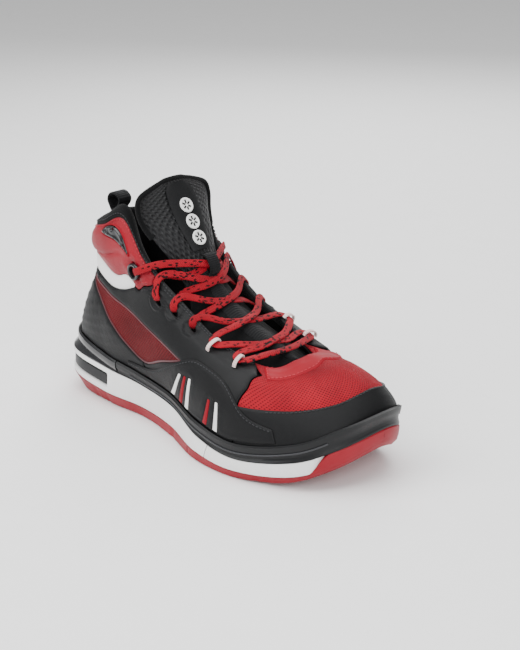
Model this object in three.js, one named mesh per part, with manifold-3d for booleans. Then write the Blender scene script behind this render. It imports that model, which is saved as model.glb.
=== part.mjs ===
// Basketball high top, right shoe, millimetres.
// +X runs heel to toe, -Y is the lateral (outer) side, +Z is up.
// The upper is one smooth skin through rings of stations. Every panel is cut
// out of a layer of that skin, so neighbours and layers never touch.
import * as THREE from 'three';
import { mergeVertices } from 'three/addons/utils/BufferGeometryUtils.js';
import Module from 'manifold-3d';

const wasm = await Module();
wasm.setup();

// ---- overall sizes -------------------------------------------------------
const LENGTH = 306;          // heel bulge to toe lip
const BALL_WIDTH = 116;      // widest part of the sole
const COLLAR_HEIGHT = 160;   // ground to the front top of the collar
const TONGUE_TOP = 181;      // ground to the top of the tongue

// ---- material thicknesses and gaps ---------------------------------------
const GAP = 0.35;            // clearance between separate pieces
const PANEL_T = 2.3;         // quarter, heel overlay and collar leather
const TRIM_T = 0.9;          // welded or stitched overlays
const MESH_T = 1.0;          // vamp and window mesh
const STIFF_T = 1.2;         // heel counter and toe puff
const LINING_T = 1.7;        // textile lining
const PAD_T = 5.0;           // collar foam
const BAND_T = 2.9;          // rubber sidewall band
const OUTSOLE_T = 4.6;       // tread rubber
const BOARD_T = 1.5;         // strobel board
const SOCK_T = 4.5;          // sockliner
const PLATE_T = 1.2;         // shank plate

// ---- lacing --------------------------------------------------------------
const LACE_W = 5.6;
const LACE_T = 1.7;
const EYELET_D = 7.2;
const TONGUE_T = 6.5;

// ---- colours -------------------------------------------------------------
const finish = (color, roughness, metalness = 0) => new THREE.MeshStandardMaterial(
  { color, roughness, metalness },
);
const RED = finish(0xc8283a, 0.55);
const MESH_RED = finish(0xdc3446, 0.8);
const RUBBER_RED = finish(0xb02a32, 0.6);
const BLACK = finish(0x1f2428, 0.6);
const TEXTILE = finish(0x16181b, 0.9);
const GREY = finish(0x3a3d40, 0.45);
const WHITE = finish(0xe9e9e7, 0.55);
const BOARD = finish(0xcfc7b4, 0.9);
const FOAM = finish(0xd8d2c4, 0.95);

const SX = LENGTH / 306;
const SY = BALL_WIDTH / 116;
const SZ = COLLAR_HEIGHT / 160;

// ---- rings of stations: x, lateral y, medial y, z ------------------------
// Station 0 is the back of the heel and station 9 is the tip of the toe.
const TREAD = [[-142, 0, 0, 4], [-125, -28, 28, 1], [-85, -35, 35, 0],
  [-45, -35, 31, 0], [-6, -44, 31, 0], [36, -59, 42, 0], [76, -60, 52, 0],
  [116, -46, 50, 4], [139, -23, 37, 14], [148, 12, 12, 22]];
const RUBBER = [[-148, 0, 0, 17], [-129, -34, 34, 15], [-85, -41, 39, 11],
  [-45, -38, 33, 9], [-5, -44.5, 33, 8], [37, -60, 43, 7], [78, -62, 53, 6],
  [120, -48, 51, 10], [143, -24, 38, 19], [152, 12, 12, 28]];
const FOAM_RIM = [[-147, 0, 0, 36], [-129, -34, 34, 35], [-85, -40, 38, 31],
  [-45, -39, 33, 28], [-4, -44, 33, 24], [38, -57.5, 43, 17],
  [79, -60, 53, 14], [122, -47, 51, 21], [145, -24, 38, 31],
  [153.5, 12, 12, 38]];
const LASTING = [[-135, 0, 0, 37], [-119, -26, 26, 36], [-83, -33, 32, 32],
  [-45, -33, 28, 29], [-4, -37, 28, 25], [37, -50, 37, 18],
  [76, -52, 46, 15], [116, -40, 44, 22], [137, -20, 33, 32],
  [145, 12, 12, 39]];
const FEATHER = [[-140, 0, 0, 49], [-123, -30, 30, 48], [-83, -38, 36, 41],
  [-45, -39, 33, 37], [-4, -43, 33, 33], [38, -55, 42, 27],
  [78, -57, 52, 24], [121, -44, 50, 33], [142, -22, 38, 44],
  [150, 12, 12, 50]];
const BELLY = [[-133, 0, 0, 74], [-116, -31, 31, 72], [-82, -41, 40, 68],
  [-46, -43, 39, 66], [-10, -48, 40, 62], [30, -53, 44, 57],
  [70, -53, 50, 51], [109, -39, 46, 54], [130, -17, 34, 60],
  [138, 12, 12, 65]];
const WAIST = [[-119, 0, 0, 108], [-104, -27, 27, 106], [-80, -36, 36, 104],
  [-54, -39, 39, 103], [-24, -42, 41, 92], [14, -44, 42, 82],
  [54, -44, 43, 71], [91, -31, 37, 67], [112, -11, 25, 72],
  [120, 7, 7, 75]];
const COLLAR = [[-119, 0, 0, 127], [-107, -28, 28, 127], [-84, -38, 38, 129],
  [-57, -40, 41, 134], [-30, -40, 39, 108], [6, -38, 38, 91],
  [46, -38, 38, 77], [82, -26, 31, 70], [101, -9, 17, 75.5],
  [106, 4, 4, 78]];
const TOP = [[-113, 0, 0, 143], [-103, -26, 26, 143], [-85, -35, 36, 150],
  [-60, -37, 40, 160], [-36, -36, 35, 127], [-1, -31, 31, 101],
  [38, -31, 31, 82], [73, -20, 24, 71.5], [86, -6.5, 11, 77],
  [90, 2, 2, 80]];

const N = 18;                // stations once round, both sides
const HALF = 9;
const wholeRing = (rows) => {
  const point = ([x, lat, med, z], medial) => new THREE.Vector3(
    x * SX, (medial ? med : lat) * SY, z * SZ,
  );
  const ring = rows.map((row) => point(row, false));
  for (let i = HALF - 1; i > 0; i -= 1) {
    ring.push(point(rows[i], true));
  }
  return ring;
};

const spline = (a, b, c, d, t) => {
  const v = new THREE.Vector3();
  for (const k of ['x', 'y', 'z']) {
    const m0 = (c[k] - a[k]) / 2;
    const m1 = (d[k] - b[k]) / 2;
    v[k] = b[k] + m0 * t + (3 * (c[k] - b[k]) - 2 * m0 - m1) * t * t
      + (2 * (b[k] - c[k]) + m0 + m1) * t * t * t;
  }
  return v;
};

const onRing = (ring, u) => {
  const w = ((u % N) + N) % N;
  const i = Math.floor(w);
  const at = (k) => ring[(i + k + N) % N];
  const p = spline(at(-1), at(0), at(1), at(2), w - i);
  p.z = Math.max(p.z, 0);    // nothing dips below the ground
  return p;
};

const RINGS = [LASTING, FEATHER, BELLY, WAIST, COLLAR, TOP].map(wholeRing);
const SOLE = {
  tread: wholeRing(TREAD), rubber: wholeRing(RUBBER), rim: wholeRing(FOAM_RIM),
};

// Point on the skin: v = -1 lasting edge, 0 feather line, 4 top line.
const skin = (u, v) => {
  const w = v + 1;
  const last = RINGS.length - 1;
  const i = Math.min(Math.max(Math.floor(w), 0), last - 1);
  const p = RINGS.map((ring) => onRing(ring, u));
  const before = i > 0 ? p[i - 1] : p[0].clone().multiplyScalar(2).sub(p[1]);
  const after = i < last - 1 ? p[i + 2]
    : p[last].clone().multiplyScalar(2).sub(p[last - 1]);
  if (w >= 0 && w <= last) {
    return spline(before, p[i], p[i + 1], after, w - i);
  }
  const end = w < 0 ? 0 : 1;
  const from = spline(before, p[i], p[i + 1], after, end);
  const near = spline(before, p[i], p[i + 1], after, Math.abs(end - 0.02));
  return from.clone().add(from.clone().sub(near)
    .multiplyScalar(Math.abs(w - (w < 0 ? 0 : last)) / 0.02));
};

const outward = (u, v) => {
  const du = skin(u + 0.05, v).sub(skin(u - 0.05, v));
  const w = Math.min(Math.max(v, -0.95), 3.95);
  const dv = skin(u, w + 0.05).sub(skin(u, w - 0.05));
  return new THREE.Vector3().crossVectors(du, dv).normalize();
};

const offset = (u, v, d) => skin(u, v).addScaledVector(outward(u, v), d);

// ---- solids --------------------------------------------------------------
const solidFrom = (points, faces) => {
  const geometry = new THREE.BufferGeometry();
  geometry.setAttribute('position', new THREE.Float32BufferAttribute(
    points.flatMap((p) => [p.x, p.y, p.z]), 3,
  ));
  geometry.setIndex(faces.flat());
  const merged = mergeVertices(geometry, 1e-4);
  const index = merged.getIndex().array;
  const tris = [];
  for (let i = 0; i < index.length; i += 3) {
    const [a, b, c] = [index[i], index[i + 1], index[i + 2]];
    if (a !== b && b !== c && c !== a) {
      tris.push(a, b, c);
    }
  }
  const body = new wasm.Manifold(new wasm.Mesh({
    numProp: 3,
    vertProperties: new Float32Array(merged.getAttribute('position').array),
    triVerts: new Uint32Array(tris),
  }));
  if (body.volume() >= 0) {
    return body;
  }
  const flipped = [];
  for (let i = 0; i < tris.length; i += 3) {
    flipped.push(tris[i], tris[i + 2], tris[i + 1]);
  }
  return new wasm.Manifold(new wasm.Mesh({
    numProp: 3,
    vertProperties: new Float32Array(merged.getAttribute('position').array),
    triVerts: new Uint32Array(flipped),
  }));
};

// Sweep of equal closed sections; a ring when closed, else capped ends.
const sweep = (sections, { closed = false, caps = [true, true], ladder = true } = {}) => {
  const k = sections[0].length;
  const n = sections.length;
  const points = sections.flat();
  const faces = [];
  for (let i = 0; i < (closed ? n : n - 1); i += 1) {
    const j = (i + 1) % n;
    for (let a = 0; a < k; a += 1) {
      const b = (a + 1) % k;
      if (a < k / 2) {
        faces.push([i * k + a, j * k + a, j * k + b]);
        faces.push([i * k + a, j * k + b, i * k + b]);
      } else {
        faces.push([i * k + a, j * k + a, i * k + b]);
        faces.push([j * k + a, j * k + b, i * k + b]);
      }
    }
  }
  const rungs = (base) => {
    const list = [];
    for (let a = 0; a + 1 < k / 2; a += 1) {
      list.push([base + a, base + a + 1, base + k - 2 - a]);
      list.push([base + a, base + k - 2 - a, base + k - 1 - a]);
    }
    return list;
  };
  const clipped = (base) => {
    const ring = points.slice(base, base + k);
    const normal = new THREE.Vector3();
    ring.forEach((p, i) => normal.add(new THREE.Vector3().crossVectors(p, ring[(i + 1) % k])));
    normal.normalize();
    const aside = Math.abs(normal.z) < 0.9 ? new THREE.Vector3(0, 0, 1)
      : new THREE.Vector3(1, 0, 0);
    const ex = aside.cross(normal).normalize();
    const ey = new THREE.Vector3().crossVectors(normal, ex);
    const flat = ring.map((p) => new THREE.Vector2(p.dot(ex), p.dot(ey)));
    return THREE.ShapeUtils.triangulateShape(flat, []).map(
      (tri) => tri.map((p) => base + p),
    );
  };
  const cap = (base, flip) => {
    for (const [a, b, c] of (ladder ? rungs(base) : clipped(base))) {
      faces.push(flip ? [a, c, b] : [a, b, c]);
    }
  };
  if (!closed && caps[0]) {
    cap(0, false);
  }
  if (!closed && caps[1]) {
    cap((n - 1) * k, true);
  }
  return solidFrom(points, faces);
};

// One layer of the skin, all the way round, between two offsets.
const U_STEP = 0.5;
const V_LINES = [0, 1, 2, 2.5, 3, 3.5];
const layer = (inner, outer, vMin = -0.9, vMax = 4) => {
  const rows = [vMin, ...V_LINES.filter((v) => v > vMin && v < vMax), vMax];
  const value = (d, u, v) => (typeof d === 'function' ? d(u, v) : d);
  const sections = [];
  for (let u = 0; u < N - 1e-6; u += U_STEP) {
    const out = rows.map((v) => offset(u, v, value(outer, u, v)));
    const back = rows.map((v) => offset(u, v, value(inner, u, v)));
    sections.push([...out, ...back.reverse()]);
  }
  return sweep(sections, { closed: true });
};

// Polyline through control points (u, v), smoothed.
const curve = (control, count) => {
  const path = new THREE.CatmullRomCurve3(
    control.map(([u, v]) => new THREE.Vector3(u, v, 0)), false, 'centripetal',
  );
  const line = [];
  for (let i = 0; i <= count; i += 1) {
    const p = path.getPointAt(i / count);
    line.push([p.x, p.y]);
  }
  return line;
};

// Cutter standing on a region of the skin between a lower and an upper line.
const DEEP = -17;
const PROUD = 6;
const patch = (lower, upper, options = {}) => {
  const { count = 12, across = 4, grow = 0, deep = DEEP, proud = PROUD } = options;
  const a = curve(lower, count);
  const b = curve(upper, count);
  const near = (v) => Math.min(Math.max(v, -0.9), 3.9);
  const size = (u, v) => [
    skin(u + 0.05, v).distanceTo(skin(u - 0.05, v)) / 0.1,
    skin(u, near(v) + 0.05).distanceTo(skin(u, near(v) - 0.05)) / 0.1,
  ];
  const outline = [...a, ...[...b].reverse()];
  const m = outline.length;
  const scale = outline.map(([u, v]) => size(u, v));
  const area = outline.reduce((sum, p, i) => {
    const q = outline[(i + 1) % m];
    return sum + p[0] * q[1] - p[1] * q[0];
  }, 0);
  const turn = Math.sign(area);
  const edgeNormal = (i, j) => {
    const [su, sv] = scale[i];
    const du = (outline[j][0] - outline[i][0]) * su;
    const dv = (outline[j][1] - outline[i][1]) * sv;
    const length = Math.hypot(du, dv);
    return length < 1e-6 ? [0, 0] : [(turn * dv) / length, (-turn * du) / length];
  };
  const grown = outline.map(([u, v], i) => {
    const before = edgeNormal((i + m - 1) % m, i);
    const after = edgeNormal(i, (i + 1) % m);
    const nx = before[0] + after[0];
    const ny = before[1] + after[1];
    const length = Math.hypot(nx, ny) || 1;
    const miter = grow / Math.max(length / 2, 0.5);
    const [su, sv] = scale[i];
    return [u + (miter * nx) / length / su, v + (miter * ny) / length / sv];
  });
  const low = grown.slice(0, count + 1);
  const high = grown.slice(count + 1).reverse();
  const grid = low.map((p, i) => Array.from({ length: across + 1 }, (_, j) => {
    const t = j / across;
    return [p[0] + (high[i][0] - p[0]) * t, p[1] + (high[i][1] - p[1]) * t];
  }));
  const sections = grid.map((row) => [
    ...row.map(([u, v]) => offset(u, v, proud)),
    ...row.map(([u, v]) => offset(u, v, deep)).reverse(),
  ]);
  return sweep(sections);
};

const group = new THREE.Group();
group.name = 'basketball_high_top';
// Keeps the one main body and drops slivers left by a cut.
const largest = (body, smoothing) => {
  const parts = body.simplify(smoothing).decompose();
  return parts.reduce((best, p) => (p.volume() > best.volume() ? p : best), parts[0]);
};
const geometryOf = (body) => {
  const mesh = body.getMesh();
  const geometry = new THREE.BufferGeometry();
  geometry.setAttribute('position', new THREE.Float32BufferAttribute(
    Float32Array.from(mesh.vertProperties), 3,
  ));
  geometry.setIndex(Array.from(mesh.triVerts));
  return mergeVertices(geometry, 1e-3);
};
const settle = (body, smoothing) => {
  const geometry = geometryOf(largest(body, smoothing));
  const index = geometry.getIndex().array;
  const tris = [];
  for (let i = 0; i < index.length; i += 3) {
    const [p, q, r] = [index[i], index[i + 1], index[i + 2]];
    if (p !== q && q !== r && r !== p) {
      tris.push(p, q, r);
    }
  }
  return largest(new wasm.Manifold(new wasm.Mesh({
    numProp: 3,
    vertProperties: new Float32Array(geometry.getAttribute('position').array),
    triVerts: new Uint32Array(tris),
  })), smoothing);
};
const place = (name, body, material, smoothing = SMOOTHING) => {
  const solid = settle(settle(body, smoothing), smoothing);
  const node = new THREE.Mesh(geometryOf(solid), material);
  node.name = name;
  group.add(node);
  return solid;
};
const minus = (body, cutters) => cutters.reduce((rest, c) => rest.subtract(c), body);

// ---- layers --------------------------------------------------------------
const smooth = (a, b, x) => {
  const t = Math.min(Math.max((x - a) / (b - a), 0), 1);
  return t * t * (3 - 2 * t);
};
// How much of the collar padding lies under the skin at (u, v).
const padAt = (u, v) => {
  const round = Math.min(u, N - u);
  return (1 - smooth(2.9, 4.0, round)) * smooth(2.0, 2.6, v);
};
const MESH_IN = -PANEL_T;
const MESH_OUT = MESH_IN + MESH_T;
const STIFF_OUT = -PANEL_T - GAP;
const STIFF_IN = STIFF_OUT - STIFF_T;
const LINING_OUT = STIFF_IN - GAP;
const padDepth = (u, v) => padAt(u, v) * (PAD_T - STIFF_T);
const liningOut = (u, v) => LINING_OUT - padDepth(u, v) * (1 - smooth(3.45, 3.9, v));
const liningIn = (u, v) => LINING_OUT - LINING_T - padDepth(u, v);
const PANEL = layer(-PANEL_T, 0);
const FABRIC = layer(MESH_IN, MESH_OUT);
const OVERLAY = layer(GAP, GAP + TRIM_T, 0);
const STIFF = layer(STIFF_IN, STIFF_OUT, -0.8);
const LINING = layer(liningIn, liningOut, -0.85);

// ---- regions, lateral side; the medial side mirrors them -----------------
const mirror = (line) => line.map(([u, v]) => [N - u, v]);
const TOP_V = 4.3;
const LOW_V = -1.15;
const SMOOTHING = 0.11;      // largest deviation when flat faces are merged
const FINE = 0.03;
const HIDDEN = 0.2;
const CRESCENT = {
  lower: [[0, 1.98], [0.7, 1.96], [1.4, 1.92], [2.0, 1.84], [2.5, 1.84], [2.9, 1.93],
    [3.22, 2.1]],
  upper: [[0, 2.5], [0.7, 2.5], [1.4, 2.44], [1.95, 2.22], [2.45, 2.13], [2.9, 2.24],
    [3.26, 2.2]],
};
const COLLAR_FACE = {
  lower: [[0.12, 2.2], [1.4, 2.2], [2.2, 2.0], [3.0, 2.2], [3.4, 2.16], [3.75, 2.7],
    [4.1, 3.3]],
  upper: [[0.12, TOP_V], [0.8, TOP_V], [1.6, TOP_V], [2.4, TOP_V], [3.1, TOP_V],
    [3.65, TOP_V], [4.2, TOP_V]],
};
const WINDOW = {
  lower: [[0.9, 1.72], [1.6, 1.48], [2.2, 1.12], [2.7, 0.74], [3.25, 0.52], [3.9, 0.84],
    [4.66, 1.24]],
  upper: [[0.9, 1.79], [1.6, 1.73], [2.2, 1.64], [2.8, 1.55], [3.4, 1.47], [4.0, 1.42],
    [4.66, 1.28]],
};
const HEEL_FACE = {
  lower: [[0, LOW_V], [0.8, LOW_V], [1.6, LOW_V], [2.3, LOW_V], [2.9, LOW_V],
    [3.4, LOW_V]],
  upper: [[0, 2.3], [0.6, 2.3], [1.3, 2.3], [1.4, 1.6], [2.0, 1.4], [2.6, 1.0], [3.2, 0.6]],
};
const QUARTER = {
  lower: [[1.2, 1.66], [1.9, 1.5], [2.6, 1.1], [3.0, 0.5], [3.1, LOW_V], [4.2, LOW_V],
    [5.4, LOW_V], [6.5, LOW_V]],
  upper: [[1.2, 2.1], [1.9, 2.1], [2.6, 2.2], [3.4, 2.7], [3.9, TOP_V], [4.8, TOP_V],
    [5.8, TOP_V], [6.72, TOP_V]],
};
const VAMP_EDGE = {
  lower: [[9, LOW_V], [8, LOW_V], [7, LOW_V], [6.4, LOW_V], [5.9, LOW_V], [6.0, 0.6],
    [6.1, 1.06], [6.38, 1.57]],
  upper: [[9, TOP_V], [8.4, TOP_V], [7.8, TOP_V], [7.2, TOP_V], [6.75, TOP_V],
    [6.72, 3.2], [6.77, 2.62], [6.5, 1.9]],
};
const RAND = {
  lower: [[9, LOW_V], [8.1, LOW_V], [7.2, LOW_V], [6.4, LOW_V], [5.6, LOW_V]],
  upper: [[9, 0.95], [8.1, 0.9], [7.2, 0.98], [6.4, 1.0], [5.6, 0.96]],
};
const THROAT_TRIM = {
  lower: [[9, 3.12], [8.3, 2.85], [7.7, 2.5], [7.2, 2.25], [6.82, 2.1]],
  upper: [[9, 3.9], [8.3, 3.9], [7.7, 3.9], [7.2, 3.86], [6.86, 3.72]],
};
const SIDE_OVERLAY = {
  lower: [[2.7, 0.14], [3.6, 0.14], [4.5, 0.14], [5.2, 0.14], [5.8, 0.14], [6.3, 0.14],
    [6.68, 0.14]],
  upper: [[2.7, 0.3], [3.5, 0.48], [4.5, 1.15], [5.3, 1.6], [5.86, 1.55], [6.2, 0.82],
    [6.66, 0.5]],
};

const both = (region) => [
  [region.lower, region.upper],
  [mirror(region.lower), mirror(region.upper)],
];
const cutters = (region, options) => both(region).map(([a, b]) => patch(a, b, options));
// One cutter for a region that crosses the heel (at 0) or the toe (at 9).
const whole = ({ lower, upper }, options) => {
  const centre = lower[0][0];
  const line = (half) => [
    ...half.slice(1).reverse().map(([u, v]) => [2 * centre - u, v]), ...half,
  ];
  return patch(line(lower), line(upper), options);
};
const SIDES = ['lateral', 'medial'];

const crescentCut = whole(CRESCENT, { count: 30, across: 1 });
const crescentGap = whole(CRESCENT, { count: 30, across: 1, grow: GAP });
const windowCut = cutters(WINDOW, { count: 14, across: 2 });
const windowGap = cutters(WINDOW, { count: 14, across: 2, grow: GAP });
const collarCut = cutters(COLLAR_FACE, { count: 14 });
const collarGap = cutters(COLLAR_FACE, { count: 14, grow: 2 * GAP });
const heelCut = whole(HEEL_FACE, { count: 26 });
const heelGap = whole(HEEL_FACE, { count: 26, grow: 3 * GAP });
const vampCut = whole(VAMP_EDGE, { count: 36, across: 5 });
const vampGap = whole(VAMP_EDGE, { count: 36, across: 5, grow: 3 * GAP });
const randCut = whole(RAND, { count: 24, across: 2 });
const quarterCut = cutters(QUARTER, { count: 20 });
const trimCut = whole(THROAT_TRIM, { count: 24, across: 1 });
const overlayCut = cutters(SIDE_OVERLAY, { count: 18, across: 3 });

const BACKSTAY = {
  lower: [[-0.105, 2.56], [0, 2.56], [0.105, 2.56]],
  upper: [[-0.105, TOP_V], [0, TOP_V], [0.105, TOP_V]],
};
const BADGE = {
  lower: [[2.1, 3.44], [2.3, 3.3], [2.65, 3.12], [3.0, 2.98], [3.2, 2.96]],
  upper: [[2.12, 3.52], [2.3, 3.58], [2.6, 3.52], [3.0, 3.3], [3.22, 3.04]],
};
const band = (from, to) => ({
  lower: Array.from({ length: 9 }, (_, i) => [from + ((to - from) * i) / 8, LOW_V]),
  upper: Array.from({ length: 9 }, (_, i) => [from + ((to - from) * i) / 8, TOP_V]),
});
const zone = (from, to, low, high) => ({
  lower: Array.from({ length: 7 }, (_, i) => [from + ((to - from) * i) / 6, low]),
  upper: Array.from({ length: 7 }, (_, i) => [from + ((to - from) * i) / 6, high]),
});
const cut = (region, options) => patch(region.lower, region.upper, options);

// ---- eyelets -------------------------------------------------------------
// Rows run up the throat: webbing loops first, then punched holes, then the
// grommet in the collar.
const LOOPS = [[6.3, 2.95], [5.75, 3.12]];
const HOLES = [[5.2, 3.14], [4.7, 3.06], [4.22, 2.8]];
const GROMMET = [3.42, 2.72];
const GROMMET_BORE = 10;
const side = (u, i) => (i === 0 ? u : N - u);
const aimed = (body, u, v, h = 0) => {
  const normal = outward(u, v);
  const turn = new THREE.Quaternion().setFromUnitVectors(
    new THREE.Vector3(0, 0, 1), normal,
  );
  const m = new THREE.Matrix4().compose(offset(u, v, h), turn, new THREE.Vector3(1, 1, 1));
  return body.transform(m.toArray());
};
// Round bar along z from one height to another.
const rod = (d, from, to, segments = 12) => {
  const bar = new THREE.CylinderGeometry(d / 2, d / 2, to - from, segments);
  bar.rotateX(Math.PI / 2).translate(0, 0, (from + to) / 2);
  bar.deleteAttribute('normal').deleteAttribute('uv');
  const merged = mergeVertices(bar, 1e-4);
  return new wasm.Manifold(new wasm.Mesh({
    numProp: 3,
    vertProperties: new Float32Array(merged.getAttribute('position').array),
    triVerts: new Uint32Array(merged.getIndex().array),
  }));
};
const punches = SIDES.map((_, i) => HOLES.map(
  ([u, v]) => aimed(rod(EYELET_D, -9, 4), side(u, i), v),
));
const bores = SIDES.map((_, i) => aimed(
  rod(GROMMET_BORE, -11, 4), side(GROMMET[0], i), GROMMET[1],
));

// ---- vent slashes in the side overlay ------------------------------------
// Foot corners where neighbours would come too close behind the sidewall.
const corner = (from, to) => SIDES.map((_, i) => cut(i === 0
  ? zone(from, to, LOW_V, -0.2) : zone(N - from, N - to, LOW_V, -0.2), { count: 6 }));
const heelFoot = corner(2.6, 3.44);
const vampFoot = corner(5.76, 7.2);
const SLASHES = [
  [[4.12, 0.2], [4.62, 0.95]], [[4.4, 0.18], [4.78, 0.98]], [[4.62, 0.18], [4.92, 1.0]],
  [[5.2, 0.18], [5.42, 0.82]], [[5.5, 0.18], [5.62, 0.86]],
];
const slash = ([[u0, v0], [u1, v1]], i, grow) => {
  const w = 0.05;
  const s = i === 0 ? 1 : -1;
  const line = (k) => [0, 0.5, 1].map((t) => {
    const wide = k * w * (1 - 0.55 * t) * s;
    return [side(u0 + (u1 - u0) * t, i) + wide, v0 + (v1 - v0) * t];
  });
  return patch(line(-1), line(1), { count: 4, across: 1, deep: -3, proud: 4, grow });
};

// ---- upper panels --------------------------------------------------------
place('ankle_stripe', PANEL.intersect(crescentCut), WHITE);
place('heel_overlay', minus(PANEL.intersect(heelCut), [...windowGap, crescentGap,
  cut(zone(-3, 3, 2.5, 4.3), { count: 12, across: 2 })]), BLACK);
place('backstay', PANEL.intersect(cut(BACKSTAY, { count: 4 })), BLACK);
SIDES.forEach((name, i) => {
  const quarter = PANEL.intersect(quarterCut[i]);
  place(`quarter_${name}`, minus(quarter, [windowGap[i], crescentGap, collarGap[i],
    heelGap, vampGap, heelFoot[i], vampFoot[i], ...punches[i]]), BLACK);
  place(`mesh_window_${name}`, FABRIC.intersect(windowCut[i]), MESH_RED);
  place(`collar_${name}`, minus(PANEL.intersect(collarCut[i]), [crescentGap, bores[i]]),
    RED);
  const strips = SLASHES.map((s) => slash(s, i, 1.5 * GAP));
  place(`side_overlay_${name}`, minus(OVERLAY.intersect(overlayCut[i]), strips), BLACK,
      FINE);
  SLASHES.forEach((s, k) => {
    place(`vent_strip_${name}_${k + 1}`, OVERLAY.intersect(slash(s, i, 0)),
      k % 2 ? RED : WHITE, FINE);
  });
});
place('vamp_mesh', FABRIC.intersect(vampCut), MESH_RED);
const TRIM = layer(MESH_OUT + GAP, 0);
place('toe_guard', TRIM.intersect(randCut).intersect(vampCut), BLACK);
place('throat_trim', TRIM.intersect(trimCut).intersect(vampCut), RED);

// ---- hidden stiffeners, foam and lining ----------------------------------
place('heel_counter', STIFF.intersect(cut(zone(-1.57, 1.57, -0.5, 1.7), { count: 10 })),
  BOARD, HIDDEN);
place('toe_puff', STIFF.intersect(cut(zone(7.3, 10.7, -0.3, 1.1), { count: 10 })),
  BOARD, HIDDEN);
const foamIn = (u, v) => LINING_OUT - padDepth(u, v) + GAP;
const PADDING = layer(foamIn, STIFF_OUT, 2, 3.5);
place('collar_foam', PADDING.intersect(
  cut(zone(-2.85, 2.85, 2.42, 3.44), { count: 16, across: 2 }),
), FOAM, HIDDEN);
const holes = [...punches.flat(), ...bores];
place('lining_vamp', minus(LINING.intersect(cut(band(5.95, 12.05), { count: 24 })), holes),
  TEXTILE, HIDDEN);
place('lining_lateral', minus(LINING.intersect(cut(band(1.62, 5.92), { count: 16 })), holes),
  TEXTILE, HIDDEN);
place('lining_medial', minus(LINING.intersect(cut(band(12.08, 16.38), { count: 16 })), holes),
  TEXTILE, HIDDEN);
place('lining_heel', LINING.intersect(cut(band(-1.59, 1.59), { count: 16 })), TEXTILE, HIDDEN);

// ---- collar badges, grommets, lace loops ---------------------------------
const SIGN = layer(GAP, GAP + 1.3, 2.5, 3.9);
SIDES.forEach((name, i) => {
  const line = i === 0 ? [BADGE.lower, BADGE.upper]
    : [mirror(BADGE.lower), mirror(BADGE.upper)];
  const dots = [[2.3, 3.45], [2.62, 3.42], [3.04, 3.08]].map(
    ([u, v]) => aimed(rod(1.8, -3, 5, 8), side(u, i), v),
  );
  place(`collar_badge_${name}`, minus(SIGN.intersect(patch(...line, { count: 10, across: 2 })), dots),
    GREY);
  const ring = rod(13, GAP, 1.7, 20).add(rod(GROMMET_BORE - 2 * GAP, -2.2, 1, 20))
    .subtract(rod(EYELET_D + 0.9, -5, 5, 20));
  place(`collar_grommet_${name}`, aimed(ring, side(GROMMET[0], i), GROMMET[1]), GREY);
});

// ---- tongue --------------------------------------------------------------
// Centre line of the front face, x and z, from the base under the vamp up.
const RIDGE = [[86, 71], [70, 76], [50, 82], [28, 90], [8, 101.5], [-5, 115], [-14, 130.5],
  [-26, 150], [-34, 163], [-41, 174], [-45, 181]];
const ridge = RIDGE.map(([x, z]) => new THREE.Vector3(x * SX, 0, z > 120
  ? 120 * SZ + (z - 120) * (TONGUE_TOP - 120 * SZ) / 61 : z * SZ));
// Side stations of the lower tongue on the skin, and how far it sits inside.
const TUCK = [[8.4, 3.5], [7.5, 3.3], [6.6, 3.2], [5.85, 3.25], [5.2, 3.25]];
const TUCK_IN = LINING_OUT - LINING_T - LACE_T - 9 * GAP;
// Free stations of the upper tongue: half width, setback and drop at the edge.
const FREE = [[19.5, 7, 10.5], [22.5, 10, 6], [32.6, 15.5, 1], [35.4, 11.5, 0], [31, 5, 1.5], [15, 1, 2]];
const tongueRow = (i) => {
  const c = ridge[i];
  if (i < TUCK.length) {
    const [u, v] = TUCK[i];
    const edge = (w) => [offset(w, v, TUCK_IN), offset(w, v + 0.5, TUCK_IN - 0.4)];
    const [l0, l1] = edge(u);
    const [m0, m1] = edge(N - u);
    return [l0, l1, c, m1, m0];
  }
  const [half, back, drop] = FREE[i - TUCK.length];
  const at = (k, b, d) => new THREE.Vector3(c.x - b, k * half * SY, c.z - d);
  return [at(-1, back, drop), at(-0.62, back * 0.36, drop * 0.3), c,
    at(0.62, back * 0.36, drop * 0.3), at(1, back, drop)];
};
const ACROSS = 10;
const smoothRow = (row) => {
  const path = new THREE.CatmullRomCurve3(row, false, 'centripetal');
  return Array.from({ length: ACROSS + 1 }, (_, i) => path.getPoint(i / ACROSS));
};
const tongueFront = (from, to, cut) => {
  const rows = [];
  for (let i = from; i <= to; i += 1) {
    rows.push(smoothRow(tongueRow(i)));
  }
  return rows.map((row, i) => {
    const next = rows[Math.min(i + 1, rows.length - 1)];
    const prev = rows[Math.max(i - 1, 0)];
    return row.map((p, j) => {
      const du = row[Math.min(j + 1, ACROSS)].clone().sub(row[Math.max(j - 1, 0)]);
      const dv = next[j].clone().sub(prev[j]);
      const n = new THREE.Vector3().crossVectors(dv, du).normalize();
      const lean = n.z < 0 ? n.negate() : n;
      return { p, n: lean, t: cut(i, j) };
    });
  });
};
const rimThin = (j) => (j === 0 || j === ACROSS ? 0.45 : 1);
const tongueSolid = (front) => sweep(front.map((row) => [
  ...row.map(({ p }) => p),
  ...row.map(({ p, n, t }) => p.clone().addScaledVector(n, -t)).reverse(),
]));
const HINGE_ROW = 6;
const ROWS = RIDGE.length;
const endThin = { 0: 0.4, [ROWS - 1]: 0.6 };
const front = tongueFront(0, ROWS - 1, (i, j) => TONGUE_T * rimThin(j) * (endThin[i] ?? 1));
const lower = front.slice(0, HINGE_ROW + 1);
const lift = ridge[HINGE_ROW + 1].clone().sub(ridge[HINGE_ROW]).setLength(1.4 * GAP);
const upper = front.slice(HINGE_ROW).map((row, i) => (i > 0 ? row
  : row.map(({ p, n, t }) => ({ p: p.clone().add(lift), n, t }))));
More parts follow.
